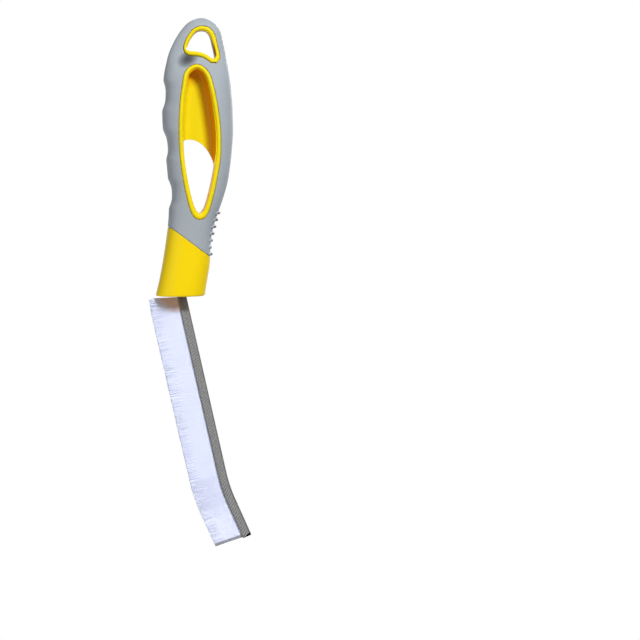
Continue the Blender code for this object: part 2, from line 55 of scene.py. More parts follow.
# %% Sizes of the handle
LOOP_WALL = 0.0065
HOLE_HEIGHT = 0.0137
HOLE_WIDTH = 0.01305
LAND_HEIGHT = 0.0048
WINDOW_HEIGHT = 0.06975
WINDOW_WIDTH = 0.0153
NECK_LENGTH = 0.0399
LEFT_BAR = 0.01055
RIGHT_BAR = 0.00885
GRIP_THICKNESS = 0.025
SECTION_POWER = 2.5
FERRULE_POWER = 2.2
FERRULE_ROUND = 0.0007
SKIN_THICKNESS = 0.0018
FIT_GAP = 0.0003
SHOWN_GAP = 0.00006

HANDLE_LENGTH = LOOP_WALL + HOLE_HEIGHT + LAND_HEIGHT + WINDOW_HEIGHT + NECK_LENGTH
GRIP_WIDTH = LEFT_BAR + WINDOW_WIDTH + RIGHT_BAR
FERRULE_Z = LOOP_WALL - HANDLE_LENGTH
WINDOW_TOP_Z = -HOLE_HEIGHT - LAND_HEIGHT
WIDEST_LEFT_SHARE = -0.5504
WINDOW_MIDDLE_X = WIDEST_LEFT_SHARE * GRIP_WIDTH + LEFT_BAR + WINDOW_WIDTH / 2


def mm(length):
    """A length in millimetres, to print."""
    return round(length * 1000, 2)


print("handle", mm(HANDLE_LENGTH), "mm long and", mm(GRIP_WIDTH), "mm wide")

# %% Sizes of the strip brush
CHANNEL_WIDTH = 0.0048
CHANNEL_HEIGHT = 0.0044
CHANNEL_WALL = 0.0005
MOUTH_WIDTH = 0.003
TANG_LENGTH = 0.016
STRIP_STRAIGHT = 0.0904
STRIP_BEND = 0.014
STRIP_END = 0.0197
STRIP_LENGTH = STRIP_STRAIGHT + STRIP_BEND + STRIP_END
STRIP_LEAN = math.radians(12.3)
STRIP_END_LEAN = math.radians(23.4)
BACK_FROM_FERRULE_LEFT = 0.01493
TRIM_LENGTH = 0.0141
WIRE_DEPTH = 0.00195
WIRE_RADIUS = 0.0006
print("strip", mm(STRIP_LENGTH), "mm of bristles")

# %% [markdown]
# ## Making meshes
#
# Blender builds a mesh from points and faces. Three small makers are enough here. A loft is a skin over a
# row of closed rings, a prism is a flat outline given depth, and a tube is a curve with a round bevel.
# Pieces are joined and cut with exact Booleans, as a moulder's tool is cut, and each result is kept as a
# plain mesh. Cutting leaves some faces without area and some loose crumbs, so those are cleared away.

# %% Helpers for angles, objects and meshes
MERGE_DISTANCE = 0.000001
SHARP_ANGLE = math.radians(38)


def even_turns(whole, steps, first=0):
    """Angles in even steps, from nothing to the whole."""
    return [whole * step / steps for step in range(first, steps + 1)]


def round_turns(sides):
    """The angles of a ring's corners, once all the way round."""
    return even_turns(math.tau, sides)[:-1]


def in_scene(name, data):
    """An object that shows a mesh, curve, lamp or camera."""
    made = bpy.data.objects.new(name, data)
    bpy.context.scene.collection.objects.link(made)
    return made


def smoothed(mesh, angle=SHARP_ANGLE):
    """A mesh shaded smooth but for its real edges."""
    mesh.shade_smooth()
    mesh.set_sharp_from_angle(angle=angle)
    return mesh


def settled_mesh(made):
    """The plain mesh that an object's curve or modifiers come to."""
    bpy.context.view_layer.update()
    graph = bpy.context.evaluated_depsgraph_get()
    return bpy.data.meshes.new_from_object(made.evaluated_get(graph))


def keep_mesh(name, bm):
    """Turn built faces into an object."""
    bmesh.ops.remove_doubles(bm, verts=bm.verts, dist=MERGE_DISTANCE)
    bmesh.ops.recalc_face_normals(bm, faces=bm.faces)
    mesh = bpy.data.meshes.new(name)
    bm.to_mesh(mesh)
    bm.free()
    return in_scene(name, smoothed(mesh))


print("edges that bend by over", round(math.degrees(SHARP_ANGLE)), "degrees stay sharp")

# %% Lofts, prisms and tubes


def loft(name, rings, looped=False):
    """A skin over closed rings of points, capped at both ends, or joined end to end when looped."""
    bm = bmesh.new()
    placed = [[bm.verts.new(point) for point in ring] for ring in rings]
    sides = len(rings[0])
    for first, second in zip(placed, placed[1:] + placed[:1] if looped else placed[1:]):
        for side in range(sides):
            after = (side + 1) % sides
            bm.faces.new((first[side], first[after], second[after], second[side]))
    if not looped:
        bm.faces.new(placed[0])
        bm.faces.new(placed[-1])
    return keep_mesh(name, bm)


def closed_curve(name, points, dimensions):
    """A curve that runs straight from point to point and ends where it began."""
    curve = bpy.data.curves.new(name, "CURVE")
    curve.dimensions = dimensions
    spline = curve.splines.new("POLY")
    spline.points.add(len(points) - 1)
    for point, place in zip(spline.points, points):
        point.co = (*place, 1)
    spline.use_cyclic_u = True
    return curve


def mesh_of(name, curve, turned=False):
    """A curve made a mesh. A flat one, drawn in X and Y, is turned to stand in X and Z."""
    drawn = in_scene(name, curve)
    if turned:
        drawn.rotation_euler.x = math.pi / 2
    mesh = settled_mesh(drawn)
    mesh.transform(drawn.matrix_world)
    bm = bmesh.new()
    bm.from_mesh(mesh)
    bpy.data.objects.remove(drawn)
    return keep_mesh(name, bm)


def prism(name, outline, half_depth):
    """A flat outline in X and Z, given a depth both ways along Y."""
    curve = closed_curve(name, [(x, z, 0) for x, z in outline], "2D")
    curve.fill_mode = "BOTH"
    curve.extrude = half_depth
    return mesh_of(name, curve, turned=True)


def ring_tube(name, points, radius):
    """A round tube along a closed loop of points."""
    curve = closed_curve(name, points, "3D")
    curve.bevel_depth = radius
    curve.bevel_resolution = 3
    return mesh_of(name, curve)


print("makers ready: loft, prism, ring_tube")

# %% Cutting and joining
SLIVER_ROUNDS = 3
CRUMB_FACES = 40


def islands(faces):
    """Lists of the faces that hang together, always in the same order."""
    left = dict.fromkeys(faces)
    while left:
        island = [next(iter(left))]
        del left[island[0]]
        for face in island:
            for near in [near for edge in face.edges for near in edge.link_faces]:
                if near in left:
                    del left[near]
                    island.append(near)
        yield island


def drop_slivers(mesh):
    """Clear away the faces without area and the loose crumbs that cutting leaves."""
    bm = bmesh.new()
    bm.from_mesh(mesh)
    for _ in range(SLIVER_ROUNDS):
        bmesh.ops.triangulate(bm, faces=[face for face in bm.faces if len(face.verts) > 4])
        bmesh.ops.dissolve_degenerate(bm, edges=bm.edges, dist=MERGE_DISTANCE)
    crumbs = [face for island in islands(bm.faces) if len(island) < CRUMB_FACES for face in island]
    bmesh.ops.delete(bm, geom=crumbs, context="FACES")
    bm.to_mesh(mesh)
    bm.free()


def combine(target, steps):
    """Join or cut a piece with others, in order, and keep the result as its mesh."""
    for operation, other in steps:
        modifier = target.modifiers.new(other.name, "BOOLEAN")
        modifier.operation = operation
        modifier.object = other
        modifier.solver = "EXACT"
    mesh = settled_mesh(target)
    target.modifiers.clear()
    target.data = mesh
    drop_slivers(mesh)
    smoothed(mesh)
    for _, other in steps:
        bpy.data.objects.remove(other)
    print(target.name, "has", len(mesh.polygons), "faces")
    return target


print("a loose crumb has fewer than", CRUMB_FACES, "faces")

# %% [markdown]
# ## The form of the handle
#
# A moulded handle is drawn as sections along its length. Each section here is a superellipse, rounder than
# a box and fuller than an oval, between a left and a right edge. The left edge then gets three finger
# grooves, and a shallow dimple lies beside the hanging hole. One function gives the surface at any place,
# so the skin, the core, the rims and the ribs all follow it.

# %% Sections down the handle
STATION_SHARES = (
    (0.0, 0.023, 0.023, 0.0),
    (0.0022, -0.035, 0.075, 0.10),
    (0.0096, -0.121, 0.144, 0.20),
    (0.0236, -0.199, 0.216, 0.30),
    (0.048, -0.280, 0.280, 0.36),
    (0.0804, -0.360, 0.311, 0.40),
    (0.1233, -0.438, 0.346, 0.47),
    (0.1663, -0.484, 0.380, 0.67),
    (0.2094, -0.516, 0.406, 0.84),
    (0.2748, -0.538, 0.432, 0.95),
    (0.3379, -0.543, 0.444, 0.99),
    (0.4025, -0.534, 0.448, 1.0),
    (0.4671, -0.511, 0.431, 1.0),
    (0.5317, -0.484, 0.403, 0.985),
    (0.5963, -0.4665, 0.360, 0.96),
    (0.6617, -0.460, 0.282, 0.93),
    (0.7264, -0.470, 0.190, 0.895),
    (0.7925, -0.501, 0.130, 0.86),
    (0.88, -0.556, 0.112, 0.825),
    (0.945, -0.606, 0.071, 0.812),
    (1.0, -0.657, 0.037, 0.80),
)
STATION_STEPS = 8


def smooth_points(points, steps, closed=False):
    """Points on a smooth curve through the given ones."""
    rows = np.asarray(points, float)
    count = len(rows)
    if closed:
        padded = np.vstack([rows[-1], rows, rows[0], rows[1]])
    else:
        padded = np.vstack([2 * rows[0] - rows[1], rows, 2 * rows[-1] - rows[-2]])
    made = []
    for span in range(count if closed else count - 1):
        before, start, end, after = padded[span : span + 4]
        for step in range(steps):
            t = step / steps
            bent = (2 * before - 5 * start + 4 * end - after) * t**2
            bent = bent + (3 * start - before - 3 * end + after) * t**3
            made.append(0.5 * (2 * start + (end - before) * t + bent))
    if not closed:
        made.append(rows[-1])
    return np.array(made)


def make_stations():
    """The sections in metres, from the lowest up: height, left and right edge, and half thickness."""
    rows = smooth_points(STATION_SHARES, STATION_STEPS)
    height = LOOP_WALL - rows[:, 0] * HANDLE_LENGTH
    half = np.clip(rows[:, 3], 0, None) * GRIP_THICKNESS / 2
    return np.column_stack([height, rows[:, 1] * GRIP_WIDTH, rows[:, 2] * GRIP_WIDTH, half])[::-1]


STATIONS = make_stations()
print(len(STATIONS), "sections, thickest", mm(2 * STATIONS[:, 3].max()), "mm")

# %% Finger grooves and dimple
GROOVE_COUNT = 3
GROOVE_FIRST = 0.0309
GROOVE_PITCH = 0.02365
GROOVE_DEPTH = 0.00155
GROOVE_HALF_LENGTH = 0.0078
DENT_DEPTH = 0.0008
DENT_NEAR = 0.0032
DENT_FAR = 0.012
DENT_SIDE = 0.0042
DENT_TURN = math.radians(58)
DENT_PLACE_SHARES = (-0.552, -1.007)


def edges_at(z):
    """Left edge, crest, right edge and half thickness at a height."""
    left, right, half = (float(np.interp(z, STATIONS[:, 0], STATIONS[:, column])) for column in (1, 2, 3))
    crest = (left + right) / 2
    for number in range(GROOVE_COUNT):
        along = (z + GROOVE_FIRST + number * GROOVE_PITCH) / GROOVE_HALF_LENGTH
        if abs(along) < 1:
            left += GROOVE_DEPTH * (1 - abs(along) ** 3) ** 2
    return left, crest, right, half


def power_at(z):
    """How full the section is at a height: rounder towards the ferrule's end."""
    return float(np.interp(z, (FERRULE_Z, FERRULE_Z + NECK_LENGTH), (FERRULE_POWER, SECTION_POWER)))


def dent_at(x, z):
    """The dimple beside the hanging hole's lower left corner, steeper on the hole's side."""
    off_x = x - DENT_PLACE_SHARES[0] * HOLE_WIDTH
    off_z = z - DENT_PLACE_SHARES[1] * HOLE_HEIGHT
    towards = off_x * math.cos(DENT_TURN) + off_z * math.sin(DENT_TURN)
    aside = off_z * math.cos(DENT_TURN) - off_x * math.sin(DENT_TURN)
    off = math.hypot(towards / (DENT_NEAR if towards > 0 else DENT_FAR), aside / DENT_SIDE)
    return DENT_DEPTH * max(0.0, 1 - off**2) ** 2


def surface_at(x, z):
    """How far the front stands out from the middle plane, beside the dimple."""
    left, crest, right, half = edges_at(z)
    reach = max(right - crest if x > crest else crest - left, FIT_GAP)
    power = power_at(z)
    return half * (1 - min(abs(x - crest) / reach, 1.0) ** power) ** (1 / power)


def section_point(z, angle):
    """The point of the handle's outline at a height, at an angle seen from above."""
    left, crest, right, half = edges_at(z)
    power = power_at(z)
    across = math.copysign(abs(math.cos(angle)) ** (2 / power), math.cos(angle))
    x = crest + across * (right - crest if across > 0 else crest - left)
    height = half * abs(math.sin(angle)) ** (2 / power)
    return Vector((x, math.copysign(height, math.sin(angle)), z))


print("front face at the window's middle:", mm(surface_at(WINDOW_MIDDLE_X, -0.05)), "mm")

# %% The handle as one closed form
RING_PITCH = 0.0008
SECTION_SIDES = 96
SPINE_RING_PITCH = 0.003
SPINE_SIDES = 32
ROUND_STEPS = 4
TOP_SHARES = (0, 0.0004, 0.0011, 0.0022, 0.0037)


def handle_form(name, inset=0.0, sides=SECTION_SIDES, pitch=RING_PITCH):
    """The whole outside of the handle, drawn in all over by an inset, with its dimple on both faces."""
    angles = round_turns(sides)
    heights = [LOOP_WALL - HANDLE_LENGTH * share for share in TOP_SHARES]
    below = heights[-1] - FERRULE_Z - FERRULE_ROUND
    count = round(below / pitch)
    heights += [heights[-1] - below * step / count for step in range(1, count + 1)]
    rings = [[section_point(z, angle) for angle in angles] for z in heights]
    crest = Vector((edges_at(FERRULE_Z)[1], 0, FERRULE_Z))
    for turn in even_turns(math.pi / 2, ROUND_STEPS, first=1):
        rise = Vector((0, 0, FERRULE_ROUND * (1 - math.sin(turn))))
        ring = [section_point(FERRULE_Z, angle) for angle in angles]
        draw_in = FERRULE_ROUND * (1 - math.cos(turn))
        rings.append([point + (crest - point).normalized() * draw_in + rise for point in ring])
    made = loft(name, rings)
    moved = [vertex.co - vertex.normal * inset for vertex in made.data.vertices]
    for vertex, place in zip(made.data.vertices, moved):
        dip = min(dent_at(place.x, place.z), abs(place.y))
        vertex.co = (place.x, place.y - math.copysign(dip, place.y), place.z)
    return made


def spine_form(name, inset):
    """The same form drawn coarser, for what is hidden inside the grip."""
    return handle_form(name, inset, SPINE_SIDES, SPINE_RING_PITCH)


print("a ring of the handle has", SECTION_SIDES, "corners, and one of the spine", SPINE_SIDES)

# %% [markdown]
# ## Openings
#
# The hanging hole is a rounded triangle and the window a long leaf. Each is drawn as an outline, smoothed,
# and can be grown outward by a distance. A profile can then be set square to the outline at each of its
# places, standing on the handle's surface: that makes both the yellow bead round an opening and the cutter
# that rolls over the skin's lip, because soft rubber is never moulded to a knife edge.

# %% Outlines of the openings
WINDOW_SHARES = (
    (0.0, -0.08, 0.0),
    (0.035, -0.082, 0.230),
    (0.1085, -0.056, 0.331),
    (0.227, -0.037, 0.428),
    (0.394, -0.006, 0.5),
    (0.567, 0.008, 0.492),
    (0.705, -0.001, 0.411),
    (0.842, -0.0115, 0.2857),
    (0.948, -0.018, 0.147),
    (0.989, -0.020, 0.0),
)
HOLE_SHARES = (
    (0.0, 0.0),
    (-0.195, -0.080),
    (-0.366, -0.290),
    (-0.474, -0.515),
    (-0.490, -0.635),
    (-0.405, -0.688),
    (-0.175, -0.705),
    (0.008, -0.737),
    (0.192, -0.803),
    (0.350, -0.905),
    (0.445, -0.960),
    (0.494, -0.912),
    (0.460, -0.715),
    (0.400, -0.470),
    (0.326, -0.195),
    (0.200, -0.036),
)
OUTLINE_STEPS = 24
OUTLINE_PITCH = 0.0006


def even_outline(points):
    """A closed outline with its points spread evenly along it."""
    fine = smooth_points(points, OUTLINE_STEPS, closed=True)
    loop = np.vstack([fine, fine[:1]])
    run = np.concatenate([[0], np.cumsum(np.linalg.norm(np.diff(loop, axis=0), axis=1))])
    stops = np.linspace(0, run[-1], int(run[-1] / OUTLINE_PITCH), endpoint=False)
    return np.column_stack([np.interp(stops, run, loop[:, column]) for column in (0, 1)])


def window_points():
    """The window's corners, down its left side and up its right."""
    left = []
    right = []
    for drop, middle, half in WINDOW_SHARES:
        z = WINDOW_TOP_Z - drop * WINDOW_HEIGHT
        left.append((WINDOW_MIDDLE_X + (middle - half) * WINDOW_WIDTH, z))
        right.append((WINDOW_MIDDLE_X + (middle + half) * WINDOW_WIDTH, z))
    return left + right[-2:0:-1]


def grown(outline, distance):
    """An anticlockwise outline moved outward by a distance."""
    along = np.roll(outline, -1, axis=0) - np.roll(outline, 1, axis=0)
    along /= np.linalg.norm(along, axis=1)[:, None]
    return outline + distance * np.column_stack([along[:, 1], -along[:, 0]])


WINDOW = even_outline(window_points())
HOLE = even_outline([(x * HOLE_WIDTH, z * HOLE_HEIGHT) for x, z in HOLE_SHARES])
WINDOW_RIM = 0.00238
HOLE_RIM = 0.0024
WINDOW_RIM_GAINS = (0.0, 0.45)
HOLE_RIM_GAINS = (0.16, 0.1)


def rim_widths(outline, width, gains):
    """A rim's width at each place of its outline. It gains some at its right and some at its foot."""
    ways = grown(outline, 1) - outline
    return width * (1 + gains[0] * ways[:, :1] + gains[1] * np.clip(-ways[:, 1:], 0, None))


OPENINGS = (
    ("window", WINDOW, rim_widths(WINDOW, WINDOW_RIM, WINDOW_RIM_GAINS)),
    ("hole", HOLE, rim_widths(HOLE, HOLE_RIM, HOLE_RIM_GAINS)),
)
print("window outline", len(WINDOW), "points, hole outline", len(HOLE), "points")

# %% Profiles that follow an opening


def follow(outline, widths, profile, side, flat=False):
    """A profile set square to an outline, standing on the handle's surface.

    Each of its points has a share of the rim's width, a distance to add, and a height above the surface.
    A flat profile takes the surface at the rim's outer edge all the way across.
    """
    ways = grown(outline, 1) - outline
    rings = []
    for inner, way, width in zip(outline, ways, widths):
        ring = []
        for share, more, height in profile:
            x, z = inner + way * (share * width + more)
            foot = inner + way * width if flat else (x, z)
            ring.append((x, side * (surface_at(*foot) + height), z))
        rings.append(ring)
    return rings


print("surface at the window's top:", mm(surface_at(*WINDOW[0])), "mm from the middle plane")

# %% Yellow beads round the openings
RIM_PROUD = 0.0005
RIM_SHOULDER = 0.001
RIM_WALL = 0.003
BEAD_MIDDLE_SHARE = 0.56
BEAD_STEPS = 12


def rim(name, outline, widths):
    """The lining of an opening: a round bead on each face, and the wall between them."""
    profile = [(1, 0, -RIM_WALL)]
    for turn in even_turns(math.pi, BEAD_STEPS):
        out = BEAD_MIDDLE_SHARE + (1 - BEAD_MIDDLE_SHARE) * math.cos(turn)
        profile.append((out, 0, (RIM_PROUD + RIM_SHOULDER) * math.sin(turn) - RIM_SHOULDER))
    front = follow(outline, widths, profile, -1, flat=True)
    back = follow(outline, widths, profile[::-1], 1, flat=True)
    rings = [a + [(x, 0, z)] + b for a, (x, z), b in zip(front, outline, back)]
    return loft(name, rings, looped=True)


print("beads stand", mm(RIM_PROUD), "mm proud")

# %% Cutters for the openings in the skin
LIP_ROUND = 0.00025
LIP_DEPTH = 0.005
LIP_CLEAR = 0.001
LIP_SKIM = 0.00005


def skin_openings():
    """Cutters for both openings: a straight hole, and on each face a collar that rolls the lip over."""
    cutters = []
    inside = SHOWN_GAP - LIP_CLEAR
    outside = SHOWN_GAP + 2 * LIP_ROUND
    profile = [(1, inside, -LIP_DEPTH), (1, inside, LIP_CLEAR)]
    profile += [(1, outside, LIP_CLEAR), (1, outside, LIP_SKIM)]
    for turn in even_turns(math.pi / 2, ROUND_STEPS):
        out = SHOWN_GAP + LIP_ROUND * (1 - math.sin(turn))
        profile.append((1, out, -LIP_ROUND * (1 - math.cos(turn))))
    profile.append((1, SHOWN_GAP, -LIP_DEPTH))
    for name, outline, widths in OPENINGS:
        way = grown(outline, widths + SHOWN_GAP - LIP_CLEAR / 5)
        cutters.append(prism(f"{name}_way", way, GRIP_THICKNESS))
        for side in (-1, 1):
            cutters.append(loft(f"{name}_lip", follow(outline, widths, profile, side), looped=True))
    return [("DIFFERENCE", cutter) for cutter in cutters]


print("the skin's lip rolls over by", mm(LIP_ROUND), "mm")

# %% [markdown]
# ## The parting line
#
# The skin ends on a slanting line across the ferrule. A moulder closes the tool's steel against the
# plastic there, which leaves a fine groove where grey meets yellow. Here both pieces are cut by the same
# thin tube that runs round the handle on that line, so each gets one half of the groove.

# %% Where the grey ends
PARTING_HIGH = 0.0338
PARTING_LOW = 0.0192
PARTING_BEND_SHARE = 0.12
PARTING_SIDES = 180
PARTING_ROUNDS = 18
PARTING_GROOVE = 0.0004
OVERRUN = 0.004


def parting_line(lift):
    """The slanting line's corners, from beyond the left edge to beyond the right."""
    high = FERRULE_Z + PARTING_HIGH + lift
    low = FERRULE_Z + PARTING_LOW + lift
    left = edges_at(high)[0]
    right = edges_at(low)[2]
    corner = left + PARTING_BEND_SHARE * (right - left)
    slope = (high - low) / (right - corner)
    return [
        (left - GRIP_WIDTH, high),
        (left - FIT_GAP, high),
        (corner, high - slope * (corner - left) / 2),
        (right + OVERRUN, low - slope * OVERRUN),
    ]


def parting_block(name, lift, level):
    """A block between the parting line and a level above or below the handle."""
    line = parting_line(lift)
    line.append((line[-1][0] + GRIP_WIDTH, line[-1][1]))
    return prism(name, line + [(line[-1][0], level), (line[0][0], level)], GRIP_THICKNESS)


def parting_groove():
    """The thin tube that runs round the handle on the parting line."""
    line = np.array(parting_line(SHOWN_GAP / 2))
    loop = []
    for angle in round_turns(PARTING_SIDES):
        place = Vector((0, 0, FERRULE_Z + PARTING_HIGH))
        for _ in range(PARTING_ROUNDS):
            place = section_point(place.z, angle)
            place.z = float(np.interp(place.x, line[:, 0], line[:, 1]))
        loop.append(place)
    return ring_tube("parting_groove", loop, PARTING_GROOVE)


print("grey ends at heights", [mm(z) for _, z in parting_line(0)], "mm")

# %% [markdown]
# ## The soft grip
#
# The grip is one skin of soft rubber. It starts as the handle's whole form, gains seven thin ribs for the
# thumb on its right edge, and is then cut: below the parting line, hollow for the core, and open at the
# hole and the window. Each rib is a loft of its own, highest on the silhouette and sinking into the
# surface at both ends. Its section is a little squarer than an oval, because the real crests are flat.

# %% Thumb ribs
RIB_PITCH = 0.00336
RIB_LOWEST = 0.0204
RIB_REACH = 0.0012
RIB_REACH_SHARES = (0.95, 0.55, 0.85, 1.1, 1.2, 1.1, 1.0)
RIB_ROOT = 0.0009
RIB_HALF_THICK = 0.0008
RIB_HALF_ANGLE = math.radians(34)
RIB_SQUARENESS = 0.75
RIB_STEPS = 16
RIB_SIDES = 14


def thumb_rib(number):
    """One rib, on the right edge, at its height above the ferrule."""
    z = FERRULE_Z + RIB_LOWEST + number * RIB_PITCH
    crest = Vector((edges_at(z)[1], 0, z))
    rings = []
    for step in range(-RIB_STEPS, RIB_STEPS + 1):
        share = step / RIB_STEPS
        foot = section_point(z, RIB_HALF_ANGLE * share)
        outward = (foot - crest).normalized()
        reach = RIB_REACH * RIB_REACH_SHARES[number] * (1 - share**2) - RIB_ROOT * share**4 / 2
        ring = []
        for turn in round_turns(RIB_SIDES):
            parts = (math.cos(turn), math.sin(turn))
            wide, tall = (math.copysign(abs(part) ** RIB_SQUARENESS, part) for part in parts)
            out = (reach + RIB_ROOT) / 2 * wide + (reach - RIB_ROOT) / 2
            ring.append(foot + outward * out + Vector((0, 0, RIB_HALF_THICK * tall)))
        rings.append(ring)
    return loft(f"rib_{number}", rings)


print(len(RIB_REACH_SHARES), "ribs,", mm(RIB_PITCH), "mm apart")

# %% Mould the grip
grip = handle_form("grip")
grip_steps = [("UNION", thumb_rib(number)) for number in range(len(RIB_REACH_SHARES))]
grip_steps.append(("DIFFERENCE", parting_block("below", SHOWN_GAP, FERRULE_Z - OVERRUN)))
grip_steps.append(("DIFFERENCE", spine_form("cavity", SKIN_THICKNESS)))
grip_steps += skin_openings()
grip_steps.append(("DIFFERENCE", parting_groove()))
combine(grip, grip_steps)
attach(grip, "root")
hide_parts("grip_skin")

# %% [markdown]
# ## The yellow core
#
# One moulding carries everything. Its ferrule shows below the grip, its spine is hidden inside, and its
# beads line both openings. A wall closes the upper part of the window and is hollowed into a scoop on both
# faces, down to an arched mouth that leaves the lower part open. The wall is a loft of sections from the
# top of the window down, each one a trough with a flat floor whose sides round up to the beads.

# %% The scooped wall in the window
WEB_THICKNESS = 0.005
WEB_EDGE_DROP = 0.0013
WEB_END_RAMP = 0.004
WEB_OVERLAP = 0.001
HOLLOW_POWER = 4
WEB_COLUMNS = 41
WEB_ROWS = 56
WEB_ROW_POWER = 1.5
MOUTH_CENTRE_SHARES = (-0.3135, 0.767)
MOUTH_HALF_SHARES = (0.8386, 0.2849)
MOUTH_SIDES = 120


def mouth():
    """The arch that leaves the lower part of the window open."""
    middle_x = WINDOW_MIDDLE_X + MOUTH_CENTRE_SHARES[0] * WINDOW_WIDTH
    middle_z = WINDOW_TOP_Z - MOUTH_CENTRE_SHARES[1] * WINDOW_HEIGHT
    wide = MOUTH_HALF_SHARES[0] * WINDOW_WIDTH
    tall = MOUTH_HALF_SHARES[1] * WINDOW_HEIGHT
    turns = round_turns(MOUTH_SIDES)
    outline = [(middle_x + wide * math.cos(turn), middle_z + tall * math.sin(turn)) for turn in turns]
    return prism("mouth", outline, GRIP_THICKNESS)


def web():
    """The wall across the upper part of the window, hollowed into a trough on both faces."""
    lowest = int(WINDOW[:, 1].argmin())
    top = int(WINDOW[:, 1].argmax())
    turned = np.roll(WINDOW, -top, axis=0)
    foot = (lowest - top) % len(WINDOW)
    left_side = turned[: foot + 1][::-1]
    right_side = np.vstack([turned[foot:], turned[:1]])
    mouth_z = WINDOW_TOP_Z - MOUTH_CENTRE_SHARES[1] * WINDOW_HEIGHT
    drop = mouth_z - WINDOW_TOP_Z
    heights = [WINDOW_TOP_Z + WEB_OVERLAP]
    heights += [WINDOW_TOP_Z + drop * (row / WEB_ROWS) ** WEB_ROW_POWER for row in range(WEB_ROWS + 1)]
    rings = []
    for z in heights:
        left = np.interp(z, left_side[:, 1], left_side[:, 0])
        right = np.interp(z, right_side[:, 1], right_side[:, 0])
        half = max((right - left) / 2, WEB_OVERLAP / 2)
        ramp = min(1.0, max(0.0, WINDOW_TOP_Z - z) / WEB_END_RAMP)
        ramp = math.sqrt(1 - (1 - ramp) ** 2)
        shares = [-math.cos(math.pi * column / (WEB_COLUMNS - 1)) for column in range(WEB_COLUMNS)]
        front = []
        for across in [-1 - WEB_OVERLAP / half] + shares + [1 + WEB_OVERLAP / half]:
            x = (left + right) / 2 + across * half
            edge = surface_at(x, z) - WEB_EDGE_DROP
            hollow = ramp * max(0.0, 1 - across**HOLLOW_POWER) ** (1 / HOLLOW_POWER)
            front.append((x, edge - (edge - WEB_THICKNESS / 2) * hollow))
        ring = [(x, -depth, z) for x, depth in front]
        rings.append(ring + [(x, depth, z) for x, depth in reversed(front)])
    return combine(loft("web", rings), [("DIFFERENCE", mouth())])


print("the wall between the scoops is", mm(WEB_THICKNESS), "mm thick")

# %% The strip's path, and the socket that holds it


def strip_place(along, out):
    """A point of the strip and its outward direction, at a length along its back and a distance out."""
    place = Vector((edges_at(FERRULE_Z)[0] + BACK_FROM_FERRULE_LEFT, 0, FERRULE_Z))
    bend = min(max(along - STRIP_STRAIGHT, 0.0), STRIP_BEND)
    sine, cosine = math.sin(STRIP_LEAN), math.cos(STRIP_LEAN)
    place += min(along, STRIP_STRAIGHT) * Vector((sine, 0, -cosine))
    turn = STRIP_END_LEAN - STRIP_LEAN
    lean = STRIP_LEAN + turn * bend / STRIP_BEND
    radius = STRIP_BEND / turn
    place += radius * Vector((cosine - math.cos(lean), 0, sine - math.sin(lean)))
    place += max(along - STRIP_STRAIGHT - STRIP_BEND, 0.0) * Vector((math.sin(lean), 0, -math.cos(lean)))
    outward = Vector((-math.cos(lean), 0, -math.sin(lean)))
    return place + out * outward, outward


def socket():
    """The slot in the ferrule that holds the channel's tang."""
    depth = TANG_LENGTH + FIT_GAP
    corners = [(-depth, -FIT_GAP), (-depth, CHANNEL_HEIGHT + FIT_GAP)]
    corners += [(OVERRUN, CHANNEL_HEIGHT + FIT_GAP), (OVERRUN, -FIT_GAP)]
    outline = [strip_place(along, out)[0] for along, out in corners]
    return prism("socket", [(point.x, point.z) for point in outline], CHANNEL_WIDTH / 2 + FIT_GAP)


print("strip ends at", [mm(value) for value in strip_place(STRIP_LENGTH, 0)[0]], "mm")

# %% Mould the core
core = handle_form("core")
core_steps = [("DIFFERENCE", parting_block("above", 0, LOOP_WALL + OVERRUN))]
core_steps.append(("UNION", spine_form("spine", SKIN_THICKNESS + FIT_GAP)))
for opening, outline, widths in OPENINGS:
    core_steps.append(("DIFFERENCE", prism(f"{opening}_way", grown(outline, widths / 2), GRIP_THICKNESS)))
    core_steps.append(("UNION", rim(f"{opening}_rim", outline, widths)))
core_steps += [("UNION", web()), ("DIFFERENCE", socket()), ("DIFFERENCE", parting_groove())]
combine(core, core_steps)
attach(core, "root")
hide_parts("handle_core")

# %% [markdown]
# ## The knurled channel
#
# A strip brush is made by folding a long metal strip round a bundle of filaments and a wire. Rollers press
# a row of slanting dents into its sides to grip them. The channel is swept here as one section, ring by
# ring along its path, and the dents are pressed into the side faces as each ring is made, so they are real
# shape and catch the light.

# %% The channel's section
FOLD_ROUND = 0.0006
LIP_FOLD_ROUND = 0.00045
KNURL_LOW = 0.0008
KNURL_HIGH = 0.0037
KNURL_STEPS = 16
KNURL_PITCH = 0.00144
KNURL_DEPTH = 0.0003
KNURL_HALF_DENT = 0.3
KNURL_SLANT = 0.8


def dent_depth(along, out):
    """How deep the rollers pressed the side at a place: one slanting dent after another."""
    middle = (KNURL_LOW + KNURL_HIGH) / 2
    turns = (along - (out - middle) * KNURL_SLANT) / KNURL_PITCH
    off = (turns - round(turns)) / KNURL_HALF_DENT
    fade = max(0.0, 1 - ((out - middle) / (KNURL_HIGH - middle)) ** 4)
    return KNURL_DEPTH * max(0.0, 1 - off**2) * fade


